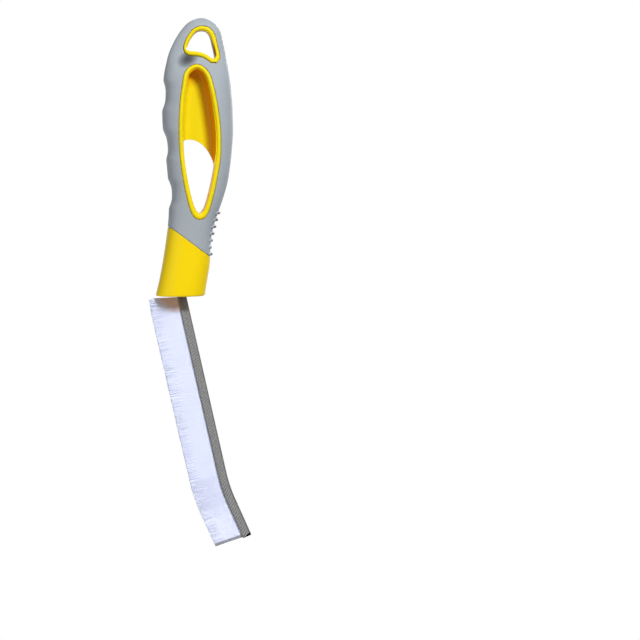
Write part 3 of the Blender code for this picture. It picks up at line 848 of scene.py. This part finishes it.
def channel_side(along):
    """One half of the section, as distances out from the back and across, from the back fold inward."""
    half = CHANNEL_WIDTH / 2
    side = []
    for turn in even_turns(math.pi / 2, ROUND_STEPS)[::-1]:
        side.append((FOLD_ROUND * (1 - math.sin(turn)), half - FOLD_ROUND * (1 - math.cos(turn))))
    for step in range(KNURL_STEPS + 1):
        out = KNURL_LOW + (KNURL_HIGH - KNURL_LOW) * step / KNURL_STEPS
        side.append((out, half - dent_depth(along, out)))
    for turn in even_turns(math.pi / 2, ROUND_STEPS):
        out = CHANNEL_HEIGHT - LIP_FOLD_ROUND * (1 - math.sin(turn))
        side.append((out, half - LIP_FOLD_ROUND * (1 - math.cos(turn))))
    lip = CHANNEL_HEIGHT - CHANNEL_WALL
    side += [(CHANNEL_HEIGHT, MOUTH_WIDTH / 2), (lip, MOUTH_WIDTH / 2)]
    return side + [(lip, half - CHANNEL_WALL), (CHANNEL_WALL, half - CHANNEL_WALL)]


def channel_section(along):
    """The whole section, from the side that is drawn and its mirror."""
    side = channel_side(along)
    return side + [(out, -across) for out, across in reversed(side)]


print("dents", mm(KNURL_PITCH), "mm apart and", mm(KNURL_DEPTH), "mm deep")

# %% Fold the channel
CHANNEL_PITCH = 0.00016


def swept(name, section_at, stops):
    """A section, which may change along the way, carried along the strip."""
    rings = []
    for stop in stops:
        ring = [strip_place(stop, out)[0] + Vector((0, across, 0)) for out, across in section_at(stop)]
        rings.append(ring)
    return loft(name, rings)


def keep_numbers(mesh, **numbers):
    """Keep numbers on a mesh's points, for its finish to read."""
    for name, values in numbers.items():
        mesh.attributes.new(name, "FLOAT", "POINT").data.foreach_set("value", values)


channel_stops = [-TANG_LENGTH, *np.arange(0, STRIP_LENGTH, CHANNEL_PITCH).tolist(), STRIP_LENGTH]
channel = swept("channel", channel_section, channel_stops)
print("channel has", len(channel.data.polygons), "faces")
section_outs = [out for out, _ in channel_section(0.0)]
outs = section_outs * len(channel_stops)
alongs = [stop for stop in channel_stops for _ in section_outs]
keep_numbers(channel.data, out=outs, along=alongs)
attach(channel, "root")
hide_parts("strip_channel")

# %% [markdown]
# ## The bristles
#
# The real strip holds thousands of filaments, each folded once round the wire, so they leave the channel
# close together and spread a little towards their trimmed tips. They could be Blender hair, but the model
# is also kept as plain meshes, so each filament is a thin five-sided rod of points and faces, in layers
# across the strip. Small seeded differences in length and direction, and bundles that lean together, keep
# the row from looking like a comb.

# %% Where the filaments stand
LAYERS = 11
FILAMENT_PITCH = 0.00024
FILAMENT_RADIUS = 0.000115
FILAMENT_SIDES = 5
FILAMENT_BEND_SHARE = 0.55
MIDDLE_SPREAD_SHARE = 0.4
FILAMENT_SHARP_ANGLE = math.radians(80)
FILAMENT_START = 0.0002
FILAMENT_END_GAP = 0.0001
ROOT_HALF_SPREAD = 0.00135
TIP_HALF_SPREAD = 0.0019
ROOT_DEPTH = 0.0009
TOP_FAN = math.radians(10.5)
TOP_FAN_LENGTH = 0.008
END_FAN = math.radians(6.5)
END_FAN_LENGTH = 0.015
BACK_SPLAY = math.radians(3)
BACK_SPLAY_LENGTH = 0.012
LENGTH_SPREAD = 0.00016
LEAN_SPREAD = math.radians(0.4)
BUNDLE_LEAN = math.radians(0.4)
BUNDLE_PITCH = 0.0021
BUNDLE_SHIFT = 0.31
BRISTLE_NAMES = ("bristles_upper", "bristles_middle", "bristles_tip")
SEED = 20

rng = np.random.default_rng(SEED)
across_count = int((STRIP_LENGTH - FILAMENT_END_GAP - FILAMENT_START) / FILAMENT_PITCH)
bundle_leans = rng.normal(0, 1, (LAYERS, int(STRIP_LENGTH / BUNDLE_PITCH) + 2))
print(across_count * LAYERS, "filaments in", LAYERS, "layers")


def fan_at(along, depth):
    """How far a filament leans from square: up at both ends, and down at the end in the back layers."""
    fan = TOP_FAN * max(0.0, 1 - along / TOP_FAN_LENGTH)
    left = STRIP_LENGTH - along
    fan += END_FAN * max(0.0, 1 - left / END_FAN_LENGTH)
    return fan - BACK_SPLAY * max(0.0, depth) * max(0.0, 1 - left / BACK_SPLAY_LENGTH)


def filament(layer, number):
    """Root, middle and tip of one filament."""
    depth = 2 * layer / (LAYERS - 1) - 1
    along = FILAMENT_START + (number + (0.75 if layer % 2 else 0.25)) * FILAMENT_PITCH
    root, outward = strip_place(along, CHANNEL_HEIGHT - ROOT_DEPTH)
    bundle = along / BUNDLE_PITCH + BUNDLE_SHIFT * layer
    low = int(bundle) % bundle_leans.shape[1]
    high = (low + 1) % bundle_leans.shape[1]
    blend = bundle - int(bundle)
    lean = bundle_leans[layer, low] * (1 - blend) + bundle_leans[layer, high] * blend
    fan = fan_at(along, depth)
    lean = BUNDLE_LEAN * lean + LEAN_SPREAD * rng.normal()
    length = ROOT_DEPTH + TRIM_LENGTH * math.cos(fan) ** 2 + LENGTH_SPREAD * rng.normal()
    root += Vector((0, depth * ROOT_HALF_SPREAD, 0))
    straight = Matrix.Rotation(fan, 3, "Y") @ outward
    bent = Matrix.Rotation(fan + lean, 3, "Y") @ outward
    spread = depth * (TIP_HALF_SPREAD - ROOT_HALF_SPREAD)
    tip = root + bent * length + Vector((0, spread, 0))
    middle = root + straight * length * FILAMENT_BEND_SHARE
    middle += Vector((0, spread * MIDDLE_SPREAD_SHARE, 0))
    return root, middle, tip


# %% Draw the filaments


def draw_filaments(name, first, last):
    """One mesh of the filaments between two numbers.

    Each point keeps its filament's own tone, how far along the filament it lies, and how far along the row.
    """
    points = []
    faces = []
    tones = []
    turns = round_turns(FILAMENT_SIDES)
    for layer in range(LAYERS):
        for number in range(first, last):
            tone = rng.random()
            stations = filament(layer, number)
            way = (stations[2] - stations[0]).normalized()
            side_way = way.cross(Vector((0, 1, 0))).normalized()
            deep_way = way.cross(side_way)
            base = len(points)
            for share, station in enumerate(stations):
                for turn in turns:
                    around = side_way * math.cos(turn) + deep_way * math.sin(turn)
                    points.append(station + around * FILAMENT_RADIUS)
                    tones.append((tone, share / 2, number / across_count))
            for row in range(2):
                start = base + row * FILAMENT_SIDES
                for side in range(FILAMENT_SIDES):
                    after = (side + 1) % FILAMENT_SIDES
                    beyond = start + FILAMENT_SIDES
                    faces.append((start + side, start + after, beyond + after, beyond + side))
            faces.append(tuple(reversed(range(base, base + FILAMENT_SIDES))))
            faces.append(tuple(range(base + 2 * FILAMENT_SIDES, base + 3 * FILAMENT_SIDES)))
    mesh = bpy.data.meshes.new(name)
    mesh.from_pydata(points, [], faces)
    own_tones, runs, places = zip(*tones)
    keep_numbers(mesh, tone=own_tones, run=runs, place=places)
    return smoothed(mesh, FILAMENT_SHARP_ANGLE)


print("a filament leans up to", round(math.degrees(TOP_FAN), 1), "degrees at the top")

# %% Three rows of filaments, with the fold that each has inside the channel
FOLD_STEPS = 8
FOLD_PITCH = 0.0015


def fold_section(along):
    """The bundle inside the channel: two legs of filament and the fold round the wire."""
    half = CHANNEL_WIDTH / 2 - CHANNEL_WALL - SHOWN_GAP
    low = CHANNEL_WALL + SHOWN_GAP
    high = CHANNEL_HEIGHT - CHANNEL_WALL - SHOWN_GAP
    bore = WIRE_RADIUS + SHOWN_GAP
    outer = [(high, half), (low + half, half)]
    for turn in even_turns(math.pi / 2, FOLD_STEPS, first=1):
        outer.append((low + half * (1 - math.sin(turn)), half * math.cos(turn)))
    inner = [(high, SHOWN_GAP / 4), (WIRE_DEPTH + bore, SHOWN_GAP / 4)]
    for turn in even_turns(math.pi, FOLD_STEPS, first=1):
        inner.append((WIRE_DEPTH + bore * math.cos(turn), bore * math.sin(turn)))
    far_outer = [(out, -across) for out, across in reversed(outer[:-1])]
    far_inner = [(out, -across) for out, across in inner[:-1]]
    return outer + far_outer + far_inner + inner[::-1]


bristle_rows = []
for index, name in enumerate(BRISTLE_NAMES):
    first = across_count * index // len(BRISTLE_NAMES)
    last = across_count * (index + 1) // len(BRISTLE_NAMES)
    start = FILAMENT_START + first * FILAMENT_PITCH + SHOWN_GAP
    end = FILAMENT_START + last * FILAMENT_PITCH - SHOWN_GAP
    between = [step * FOLD_PITCH for step in range(int(STRIP_LENGTH / FOLD_PITCH))]
    stops = [start] + [stop for stop in between if start < stop < end] + [end]
    made = swept(f"{name}_rods", fold_section, stops)
    rods = draw_filaments(name, first, last)
    bm = bmesh.new()
    bm.from_mesh(rods)
    bm.from_mesh(made.data)
    bm.to_mesh(rods)
    bm.free()
    made.data = rods
    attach(made, "root")
    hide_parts(name)
    bristle_rows.append(made)
    print(made.name, "has", len(rods.polygons), "faces")

# %% [markdown]
# ## Finishes from nodes
#
# A material is a network of nodes, and drawing one in code gets long. One small class makes it read like
# arithmetic: it wraps a socket, so that sums and products of wrapped sockets add Math nodes, and one
# method adds any other node. Each finish below is then a few lines of what the surface really shows. A
# noise's scale is in waves to the metre: 55 makes clouds 18 mm across, and 4200 a grain of a quarter
# millimetre.

# %% A socket that can be reckoned with


class Shade:
    """A node's output, which can be written into sums."""

    def __init__(self, socket):
        self.socket = socket

    @staticmethod
    def node(tree, kind, settings=None, sockets=None, output=0):
        """Add a node of a kind, set it up, fill its sockets with values or links, and wrap an output."""
        made = tree.nodes.new(kind)
        for name, value in (settings or {}).items():
            setattr(made, name, value)
        for name, value in (sockets or {}).items():
            if isinstance(value, Shade):
                tree.links.new(value.socket, made.inputs[name])
            else:
                made.inputs[name].default_value = value
        return Shade(made.outputs[output]) if made.outputs else None

    def math(self, operation, *others, swapped=False):
        """A Math node on this output and other values."""
        values = (*others, self) if swapped else (self, *others)
        tree = self.socket.id_data
        return Shade.node(tree, "ShaderNodeMath", {"operation": operation}, dict(enumerate(values)))

    def clamped(self):
        """Held between 0 and 1."""
        return self.math("MINIMUM", 1.0).math("MAXIMUM", 0.0)

    def along(self, axis):
        """The X, Y or Z of a place or a direction."""
        return Shade.node(self.socket.id_data, "ShaderNodeSeparateXYZ", sockets={0: self}, output=axis)

    def __add__(self, other):
        return self.math("ADD", other)

    def __sub__(self, other):
        return self.math("SUBTRACT", other)

    def __mul__(self, other):
        return self.math("MULTIPLY", other)

    def __truediv__(self, other):
        return self.math("DIVIDE", other)

    def __rsub__(self, other):
        return self.math("SUBTRACT", other, swapped=True)

    __radd__ = __add__
    __rmul__ = __mul__


print("sockets can be added, taken away, multiplied and divided")

# %% What every finish is put together from


def new_finish(name):
    """An empty material, and a short way to add nodes to it."""
    made = bpy.data.materials.new(name)
    made.use_nodes = True
    made.node_tree.nodes.clear()

    def add(kind, settings=None, sockets=None, output=0):
        return Shade.node(made.node_tree, kind, settings, sockets, output)

    return made, add


def kept(add, name):
    """A number that was kept on the mesh's points."""
    return add("ShaderNodeAttribute", {"attribute_name": name}, output="Fac")


def noise(add, place, scale, detail=2.0, rough=0.5):
    """A cloudy pattern of so many waves to the metre."""
    sockets = {"Vector": place, "Scale": scale, "Detail": detail, "Roughness": rough}
    return add("ShaderNodeTexNoise", sockets=sockets)


def mixed(add, factor, first, second):
    """One colour over another, by a factor that changes over the surface.

    A Mix node has sockets of one name for numbers, vectors and colours, so these are called by number: 0 is
    the factor, 6 and 7 are the colours that go in, and 2 is the one that comes out.
    """
    first, second = (colour if isinstance(colour, Shade) else (*colour, 1) for colour in (first, second))
    return add("ShaderNodeMix", {"data_type": "RGBA"}, {0: factor, 6: first, 7: second}, output=2)


def surface(add, colour, roughness, height, bump_distance, **steady):
    """Close a finish: a principled shader with a bump, and the material's output."""
    bump = add("ShaderNodeBump", sockets={"Height": height, "Strength": 1.0, "Distance": bump_distance})
    sockets = {"Base Color": colour, "Roughness": roughness, "Normal": bump}
    sockets.update({name.replace("_", " "): value for name, value in steady.items()})
    shader = add("ShaderNodeBsdfPrincipled", sockets=sockets)
    add("ShaderNodeOutputMaterial", sockets={"Surface": shader})


print("finish makers ready: kept, noise, mixed, surface")

# %% [markdown]
# ## Soft grey rubber
#
# The overmould is a matt thermoplastic rubber. Its mould was spark-eroded, which leaves a very fine grain,
# and hands polish it a little in places. The two halves of the mould met on the middle plane, so a faint
# seam runs down both edges. The grain goes into a bump, and the polish into roughness. A painted shade
# darkens the dimple, as an oval on the face. The crests of the ribs are darker too, from a curve that
# follows the right edge.

# %% The grip's finish
GREY_DARK = (0.278, 0.307, 0.335)
GREY_LIGHT = (0.315, 0.347, 0.378)
CLOUD_WAVES = 55.0
BLOTCH_WAVES = 700.0
GRAIN_WAVES = 4200.0
RUBBER_BUMP = 0.00003
SEAM_HALF_WIDTH = 0.00012
DIMPLE_SHADE_AND_CREST_GREY = (0.055, 0.058, 0.063)
DIMPLE_SHADE_PLACE = (-0.0064, -0.0136)
DIMPLE_SHADE_HALF_LENGTH = 0.0060
DIMPLE_SHADE_HALF_WIDTH = 0.0040
DIMPLE_SHADE_TURN = math.radians(30)
RIB_CREST_DARKENING = 0.95
RIB_EDGE_X = 0.0040
RIB_EDGE_Z = -0.106
RIB_EDGE_CURVE = 10.3
RIB_EDGE_FADE = 0.0007
RIB_ZONE_HIGH = 0.023

rubber, add = new_finish("grey_skin")
place = add("ShaderNodeTexCoord", output="Object")
depth = place.along(1)
# Painted shade: a dark oval over the dimple beside the hanging hole.
off_x = place.along(0) - DIMPLE_SHADE_PLACE[0]
off_z = place.along(2) - DIMPLE_SHADE_PLACE[1]
dimple_shade_along = (off_x * math.cos(DIMPLE_SHADE_TURN) + off_z * math.sin(DIMPLE_SHADE_TURN)) / DIMPLE_SHADE_HALF_LENGTH
dimple_shade_aside = (off_z * math.cos(DIMPLE_SHADE_TURN) - off_x * math.sin(DIMPLE_SHADE_TURN)) / DIMPLE_SHADE_HALF_WIDTH
dimple_shade_and_dark_crests = (1 - dimple_shade_along * dimple_shade_along - dimple_shade_aside * dimple_shade_aside).math("MAXIMUM", 0.0)
# The rib crests are darker, from a curve that follows the right edge.
rib_z = place.along(2) - RIB_EDGE_Z
rib_x = place.along(0) - RIB_EDGE_X - rib_z * rib_z * RIB_EDGE_CURVE
dark_rib_crest = (rib_x / RIB_EDGE_FADE).clamped() * RIB_CREST_DARKENING
in_ribs = rib_z.math("LESS_THAN", RIB_ZONE_HIGH)
dimple_shade_and_dark_crests = dimple_shade_and_dark_crests.math("MAXIMUM", dark_rib_crest * in_ribs)
seam = (1 - depth.math("ABSOLUTE") / SEAM_HALF_WIDTH).math("MAXIMUM", 0.0)
cloud = noise(add, place, CLOUD_WAVES, 3.0)
blotch = noise(add, place, BLOTCH_WAVES)
grain = noise(add, place, GRAIN_WAVES, 3.0, 0.6)
tone = (cloud * 0.7 + blotch * 0.3 - 0.25) * 2.0
worn = (cloud - 0.5) * 0.25
clean_grey = mixed(add, tone, GREY_DARK, GREY_LIGHT)
surface(
    add,
    mixed(add, dimple_shade_and_dark_crests, clean_grey, DIMPLE_SHADE_AND_CREST_GREY),
    0.58 - worn + (grain - 0.5) * 0.12,
    grain * 0.7 + blotch * 0.4 + seam * 1.2,
    RUBBER_BUMP,
    Specular_IOR_Level=0.15,
)
grip.data.materials.clear()
grip.data.materials.append(rubber)
print("grip finished with", len(rubber.node_tree.nodes), "nodes")

# %% [markdown]
# ## Glossy yellow plastic
#
# The core is polypropylene from a polished mould, so it shines, but its surface is never quite flat: it
# has a slight orange peel and faint flow marks along the handle. Fine scuffs dull it here and there.
#
# Where it is sunk, the plastic lies in shade and takes light bounced from yellow walls, and that shade is
# painted into its colour. The scoops' walls that face down and left, away from the lamp, get a painted
# strong orange shade, and those of the hanging hole a painted brown shade. The scoops' floors get a painted
# orange shadow towards the right and the top. Where nothing is sunk, the ferrule is a rich yellow, and the
# beads above it are more lemon.

# %% The core's finish
YELLOW_DEEP = (0.730, 0.520, 0.003)
YELLOW_CLEAR = (0.780, 0.570, 0.006)
LEMON = (0.700, 0.560, 0.007)
FLOW_WAVES = 120.0
PEEL_WAVES = 520.0
SCUFF_WAVES = 2600.0
PLASTIC_BUMP = 0.00002
PAINTED_WALL_SHADE_ORANGE = (0.640, 0.240, 0.001)
PAINTED_SCOOP_SHADOW_ORANGE = (0.690, 0.310, 0.001)
PAINTED_HOLE_SHADE_BROWN = (0.160, 0.070, 0.002)
HOLE_LOWEST = -0.0165
SCOOP_SHADOW_X = -0.0032
SCOOP_SHADOW_Z = -0.0245
SCOOP_SHADOW_SLOPE = 0.146
SCOOP_SHADOW_FADE = 0.0055
HOLLOW_LOWEST = -0.0885
HOLLOW_SHALLOW = 0.003
HOLLOW_GROWTH = 0.33
HOLLOW_DEPTH = 0.0096
HOLLOW_FADE = 0.0015
WALL_SHADE_GAIN = 1.6

plastic, add = new_finish("yellow_core")
place = add("ShaderNodeTexCoord", output="Object")
drawn = add("ShaderNodeMapping", sockets={"Vector": place, "Scale": (1.0, 1.0, 0.25)})
flow = noise(add, drawn, FLOW_WAVES, 3.0)
peel = noise(add, place, PEEL_WAVES)
scuff_sockets = {"Vector": place, "Rotation": (0.3, 0.5, 0.2), "Scale": (1, 1, 0.06)}
scuff_way = add("ShaderNodeMapping", sockets=scuff_sockets)
scuff = (noise(add, scuff_way, SCUFF_WAVES) - 0.62).math("MAXIMUM", 0.0) * 4.0
way = add("ShaderNodeTexCoord", output="Normal")
# Painted shade: walls that face down and left, away from the lamp, are painted orange in the scoops.
away = 0 - way.along(0) - way.along(2)
height = place.along(2)
level = place.along(1).math("ABSOLUTE")
moulded = height.math("GREATER_THAN", HOLLOW_LOWEST)
hollow = (away * WALL_SHADE_GAIN).clamped() * moulded
floor_level = (HOLLOW_SHALLOW - height * HOLLOW_GROWTH).math("MINIMUM", HOLLOW_DEPTH)
sunk = ((floor_level - level) / HOLLOW_FADE).clamped()
# Painted shadow on the scoops' floors, towards the right and the top, where the lamp's shadow falls.
right = place.along(0) - SCOOP_SHADOW_X + (height - SCOOP_SHADOW_Z) * SCOOP_SHADOW_SLOPE
painted_scoop_shadow = (right / SCOOP_SHADOW_FADE).math("MAXIMUM", (height - SCOOP_SHADOW_Z) / SCOOP_SHADOW_FADE + 0.5)
painted_scoop_shadow = painted_scoop_shadow.clamped() * sunk * height.math("LESS_THAN", HOLE_LOWEST)
clear_yellow = mixed(add, moulded, mixed(add, flow, YELLOW_DEEP, YELLOW_CLEAR), LEMON)
# The hanging hole's walls get a painted brown shade instead.
in_hole = height.math("GREATER_THAN", HOLE_LOWEST)
painted_wall_shade = mixed(add, in_hole, PAINTED_WALL_SHADE_ORANGE, PAINTED_HOLE_SHADE_BROWN)
surface(
    add,
    mixed(add, hollow * sunk, mixed(add, painted_scoop_shadow, clear_yellow, PAINTED_SCOOP_SHADOW_ORANGE), painted_wall_shade),
    0.3 + (peel - 0.5) * 0.08 + scuff * 0.12,
    peel * 0.8 + flow * 0.5 - scuff * 0.15,
    PLASTIC_BUMP,
    Specular_IOR_Level=0.06,
)
core.data.materials.clear()
core.data.materials.append(plastic)
print("core finished with", len(plastic.node_tree.nodes), "nodes")

# %% [markdown]
# ## Galvanised steel
#
# The channel is thin galvanised strip, drawn lengthwise through rollers. Its grey is uneven and slightly
# warm, dull rather than bright, with fine scratches along its length. Painted shade darkens its dents and
# its folds, a painted brown shadow lies where the ferrule shades it, and a painted black shadow fills the
# corner of its cut end. The wire inside is plain drawn steel, so it shares the recipe with a lighter tone.

# %% The metal's finish
SCRATCH_WAVES = 5200.0
BLOOM_WAVES = 900.0
STEEL_BUMP = 0.00002
FERRULE_SHADOW_Z = -0.1362
FERRULE_SHADOW_FADE = 0.002
PAINTED_FERRULE_SHADOW_BROWN = (0.085, 0.062, 0.036)
END_SHADOW_LENGTH = 0.0017
END_SHADOW_SLANT = 0.35
END_SHADOW_FADE = 0.0003
PAINTED_END_SHADOW_BLACK = (0.004, 0.004, 0.004)


def steel_finish(name, dark, light, rough, dent_shade=0.0, fold_and_ferrule_shade=0.0):
    """Drawn steel. One number says how dark the painted shade in its dents is, and one the painted shade
    along its folds and the painted shadow under the ferrule.
    """
    made, add = new_finish(name)
    place = add("ShaderNodeTexCoord", output="Object")
    deep = place.along(1).math("ABSOLUTE")
    # Painted shade in the dents, darker where the side is pressed in.
    low = ((CHANNEL_WIDTH / 2 - deep) / KNURL_DEPTH).math("MINIMUM", 1.0)
    turned = add("ShaderNodeMapping", sockets={"Vector": place, "Rotation": (0, STRIP_LEAN, 0)})
    drawn = add("ShaderNodeMapping", sockets={"Vector": turned, "Scale": (1.0, 1.0, 0.04)})
    scratch = noise(add, drawn, SCRATCH_WAVES, rough=0.6)
    bloom = noise(add, place, BLOOM_WAVES, 4.0, 0.6)
    out = kept(add, "out")
    # Painted shade along the folds.
    fold = (out / (CHANNEL_HEIGHT / 2) - 1).math("ABSOLUTE").math("POWER", 3.0)
    # Painted shadow of the ferrule: darker and browner at the channel's top.
    near = ((place.along(2) - FERRULE_SHADOW_Z) / FERRULE_SHADOW_FADE).clamped()
    # Painted shadow: the corner of the cut end is black, where its hollow lies in shade.
    end_shadow_reach = kept(add, "along") - STRIP_LENGTH + END_SHADOW_LENGTH - out * END_SHADOW_SLANT
    end_shadow = (end_shadow_reach / END_SHADOW_FADE).clamped()
    lightness = bloom * 0.7 + scratch * 0.3 - low * dent_shade - fold * fold_and_ferrule_shade - near * fold_and_ferrule_shade
    tone = mixed(add, lightness, dark, light)
    surface(
        add,
        mixed(add, end_shadow, mixed(add, near * fold_and_ferrule_shade, tone, PAINTED_FERRULE_SHADOW_BROWN), PAINTED_END_SHADOW_BLACK),
        rough + (scratch - 0.5) * 0.2 + (bloom - 0.5) * 0.15,
        scratch * 0.6 + bloom * 0.4,
        STEEL_BUMP,
        Metallic=1.0,
    )
    return made


rolled = steel_finish("channel_steel", (0.09, 0.09, 0.088), (0.33, 0.33, 0.33), 0.5, 0.25, 0.55)
channel.data.materials.append(rolled)
drawn_wire = steel_finish("wire_steel", (0.42, 0.42, 0.42), (0.55, 0.55, 0.54), 0.36)
wire_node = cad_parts["channel_wire"]
wire_node.material_slots[0].material = drawn_wire
print("steel on", channel.name, "and", wire_node.name)

# %% [markdown]
# ## White nylon
#
# The filaments are extruded nylon, a cold white that is slightly different from one to the next. Each one
# kept a random tone when it was drawn, how far along it a point lies, and its own place in the row. So
# the material can vary the rows, grey the cut tips a little, and paint a grey shade on the last rows. Under
# the ferrule, where its shadow falls, an oval of painted warm shade is mixed in.

# %% The bristles' finish
NYLON_SHADE = (0.755, 0.795, 1.000)
NYLON_WHITE = (0.810, 0.850, 1.000)
PAINTED_WARM_SHADE = (0.700, 0.478, 0.376)
NYLON_GREY = (0.170, 0.165, 0.175)
STREAK_WAVES = 650.0
NYLON_BUMP = 0.00001
WARM_SHADE_PLACE = (-0.0118, -0.1246)
WARM_SHADE_HALF_WIDTH = 0.0135
WARM_SHADE_HALF_HEIGHT = 0.0125
WARM_SHADE_GAIN = 1.8
TIP_START = 0.97
TIP_GREYING = 0.5
LAST_ROWS_START = 0.985
LAST_ROWS_FADE = 0.004
LAST_ROWS_PAINTED_SHADE = 0.8

nylon, add = new_finish("white_filament")
own_tone = kept(add, "tone")
place = add("ShaderNodeTexCoord", output="Object")
streak = noise(add, place, STREAK_WAVES)
clean_white = mixed(add, own_tone * 0.6 + streak * 0.5, NYLON_SHADE, NYLON_WHITE)
# Painted warm shade: an oval under the ferrule, where its shadow falls on the white.
off_x = (place.along(0) - WARM_SHADE_PLACE[0]) / WARM_SHADE_HALF_WIDTH
off_z = (place.along(2) - WARM_SHADE_PLACE[1]) / WARM_SHADE_HALF_HEIGHT
warm_shade = ((1 - off_x * off_x - off_z * off_z) * WARM_SHADE_GAIN).clamped()
white_with_warm_shade = mixed(add, warm_shade, clean_white, PAINTED_WARM_SHADE)
tip = ((kept(add, "run") - TIP_START) / (1 - TIP_START)).math("MAXIMUM", 0.0) * own_tone * TIP_GREYING
# Painted shade: the last rows of the strip are greyer.
last = ((kept(add, "place") - LAST_ROWS_START) / LAST_ROWS_FADE).clamped()
surface(
    add,
    mixed(add, tip.math("MAXIMUM", last * LAST_ROWS_PAINTED_SHADE), white_with_warm_shade, NYLON_GREY),
    0.42 + own_tone * 0.1,
    streak,
    NYLON_BUMP,
    Specular_IOR_Level=0.3,
)
for bristle_row in bristle_rows:
    bristle_row.data.materials.append(nylon)
print("nylon has", len(nylon.node_tree.nodes), "nodes")

# %% [markdown]
# ## Camera
#
# The photograph was taken square to the brush from about 0.8 m, a little to the left of it and above its
# middle. The camera stands there and turns to the middle of the picture.

# %% Camera
CAMERA_PLACE = Vector((-0.0216, -0.8, -0.0665))
CAMERA_TARGET = Vector((0.0582, 0, -0.1409))
CAMERA_LENS = 91.56

camera_data = bpy.data.cameras.new("camera")
camera_data.lens = CAMERA_LENS
camera_data.clip_end = 10
camera = in_scene("camera", camera_data)
camera.location = CAMERA_PLACE
camera.rotation_euler = (CAMERA_TARGET - CAMERA_PLACE).to_track_quat("-Z", "Y").to_euler()
bpy.context.scene.camera = camera
print("camera is", round((CAMERA_TARGET - CAMERA_PLACE).length, 3), "m from its target")

# %% [markdown]
# ## Light
#
# One soft lamp stands at the upper right in front, as in the photograph, where the ferrule shades the top
# of the bristles. A wide weak one from the left softens the dark side, one behind lights the back for
# whoever walks round it, and a dim world fills the rest.
#
# A studio's white backdrop is very bright, and a world as bright would light the brush too much. So the
# world is bright only to the camera, and in reflections and through clear things, and dim as a light. The
# pale floor, far below, glows by the same rule.

# %% Lamps
LAMP_WAY = Vector((0.55, -1.0, 0.93)).normalized()
LAMP_DISTANCE = 1.5
LAMP_SIZE = 0.4
LAMP_POWER = 26.4
FILL_WAY = Vector((-1.3, -1.0, 0.0)).normalized()
FILL_SIZE = 1.4
FILL_POWER = 10.4
BACK_WAY = Vector((0.5, 1.0, 0.5)).normalized()
BACK_SIZE = 0.8
BACK_POWER = 27.0


def round_lamp(name, way, size, power):
    """A round soft lamp that looks at the middle of the brush."""
    lamp_data = bpy.data.lights.new(name, "AREA")
    lamp_data.shape = "DISK"
    lamp_data.size = size
    lamp_data.energy = power
    lamp = in_scene(name, lamp_data)
    lamp.location = Vector((0, 0, FERRULE_Z)) + way * LAMP_DISTANCE
    lamp.rotation_euler = (-way).to_track_quat("-Z", "Y").to_euler()


round_lamp("key_lamp", LAMP_WAY, LAMP_SIZE, LAMP_POWER)
round_lamp("fill_lamp", FILL_WAY, FILL_SIZE, FILL_POWER)
round_lamp("back_lamp", BACK_WAY, BACK_SIZE, BACK_POWER)
print("lamp of", LAMP_POWER, "W at", LAMP_DISTANCE, "m")

# %% A world that is white but lights dimly
WORLD_LIGHT = 0.11
SEEN_RAYS = ("Is Camera Ray", "Is Glossy Ray", "Is Transmission Ray")


def seen_part(tree):
    """1 for the camera, in reflections and through clear things, and 0 for rays that carry light."""
    camera_ray, glossy, clear = (Shade.node(tree, "ShaderNodeLightPath", output=ray) for ray in SEEN_RAYS)
    return camera_ray.math("MAXIMUM", glossy).math("MAXIMUM", clear)


world = bpy.data.worlds.new("studio")
world.use_nodes = True
world.node_tree.nodes.clear()
bpy.context.scene.world = world
tone = seen_part(world.node_tree) * (1 - WORLD_LIGHT) + WORLD_LIGHT
sky = Shade.node(world.node_tree, "ShaderNodeBackground", sockets={"Color": (1, 1, 1, 1), "Strength": tone})
Shade.node(world.node_tree, "ShaderNodeOutputWorld", sockets={"Surface": sky})
print("the world lights at", WORLD_LIGHT, "of what it shows")

# %% The floor
FLOOR_Z = -1.2
FLOOR_HALF = 2.7
FLOOR_GLOW = 0.85

floor_finish, add = new_finish("pale_floor")
seen = seen_part(floor_finish.node_tree)
sockets = {"Base Color": (0.8, 0.8, 0.8, 1), "Roughness": 0.9, "Specular IOR Level": 0.0}
sockets["Emission Color"] = add("ShaderNodeCombineColor", sockets={0: seen, 1: seen, 2: seen})
sockets["Emission Strength"] = FLOOR_GLOW
add("ShaderNodeOutputMaterial", sockets={"Surface": add("ShaderNodeBsdfPrincipled", sockets=sockets)})

corners = [(FLOOR_HALF * x, FLOOR_HALF * y, FLOOR_Z) for x, y in ((-1, -1), (1, -1), (1, 1), (-1, 1))]
floor_mesh = bpy.data.meshes.new("floor")
floor_mesh.from_pydata(corners, [], [(0, 1, 2, 3)])
floor_mesh.materials.append(floor_finish)
floor = in_scene("floor", floor_mesh)
print("floor", -FLOOR_Z, "m below the hook")

# %% [markdown]
# ## Finish
#
# Colours should come out as they are written, so the view transform is Standard. Single filament tips
# reach a millimetre further than the imported model.

# %% View
bpy.context.scene.view_settings.view_transform = "Standard"
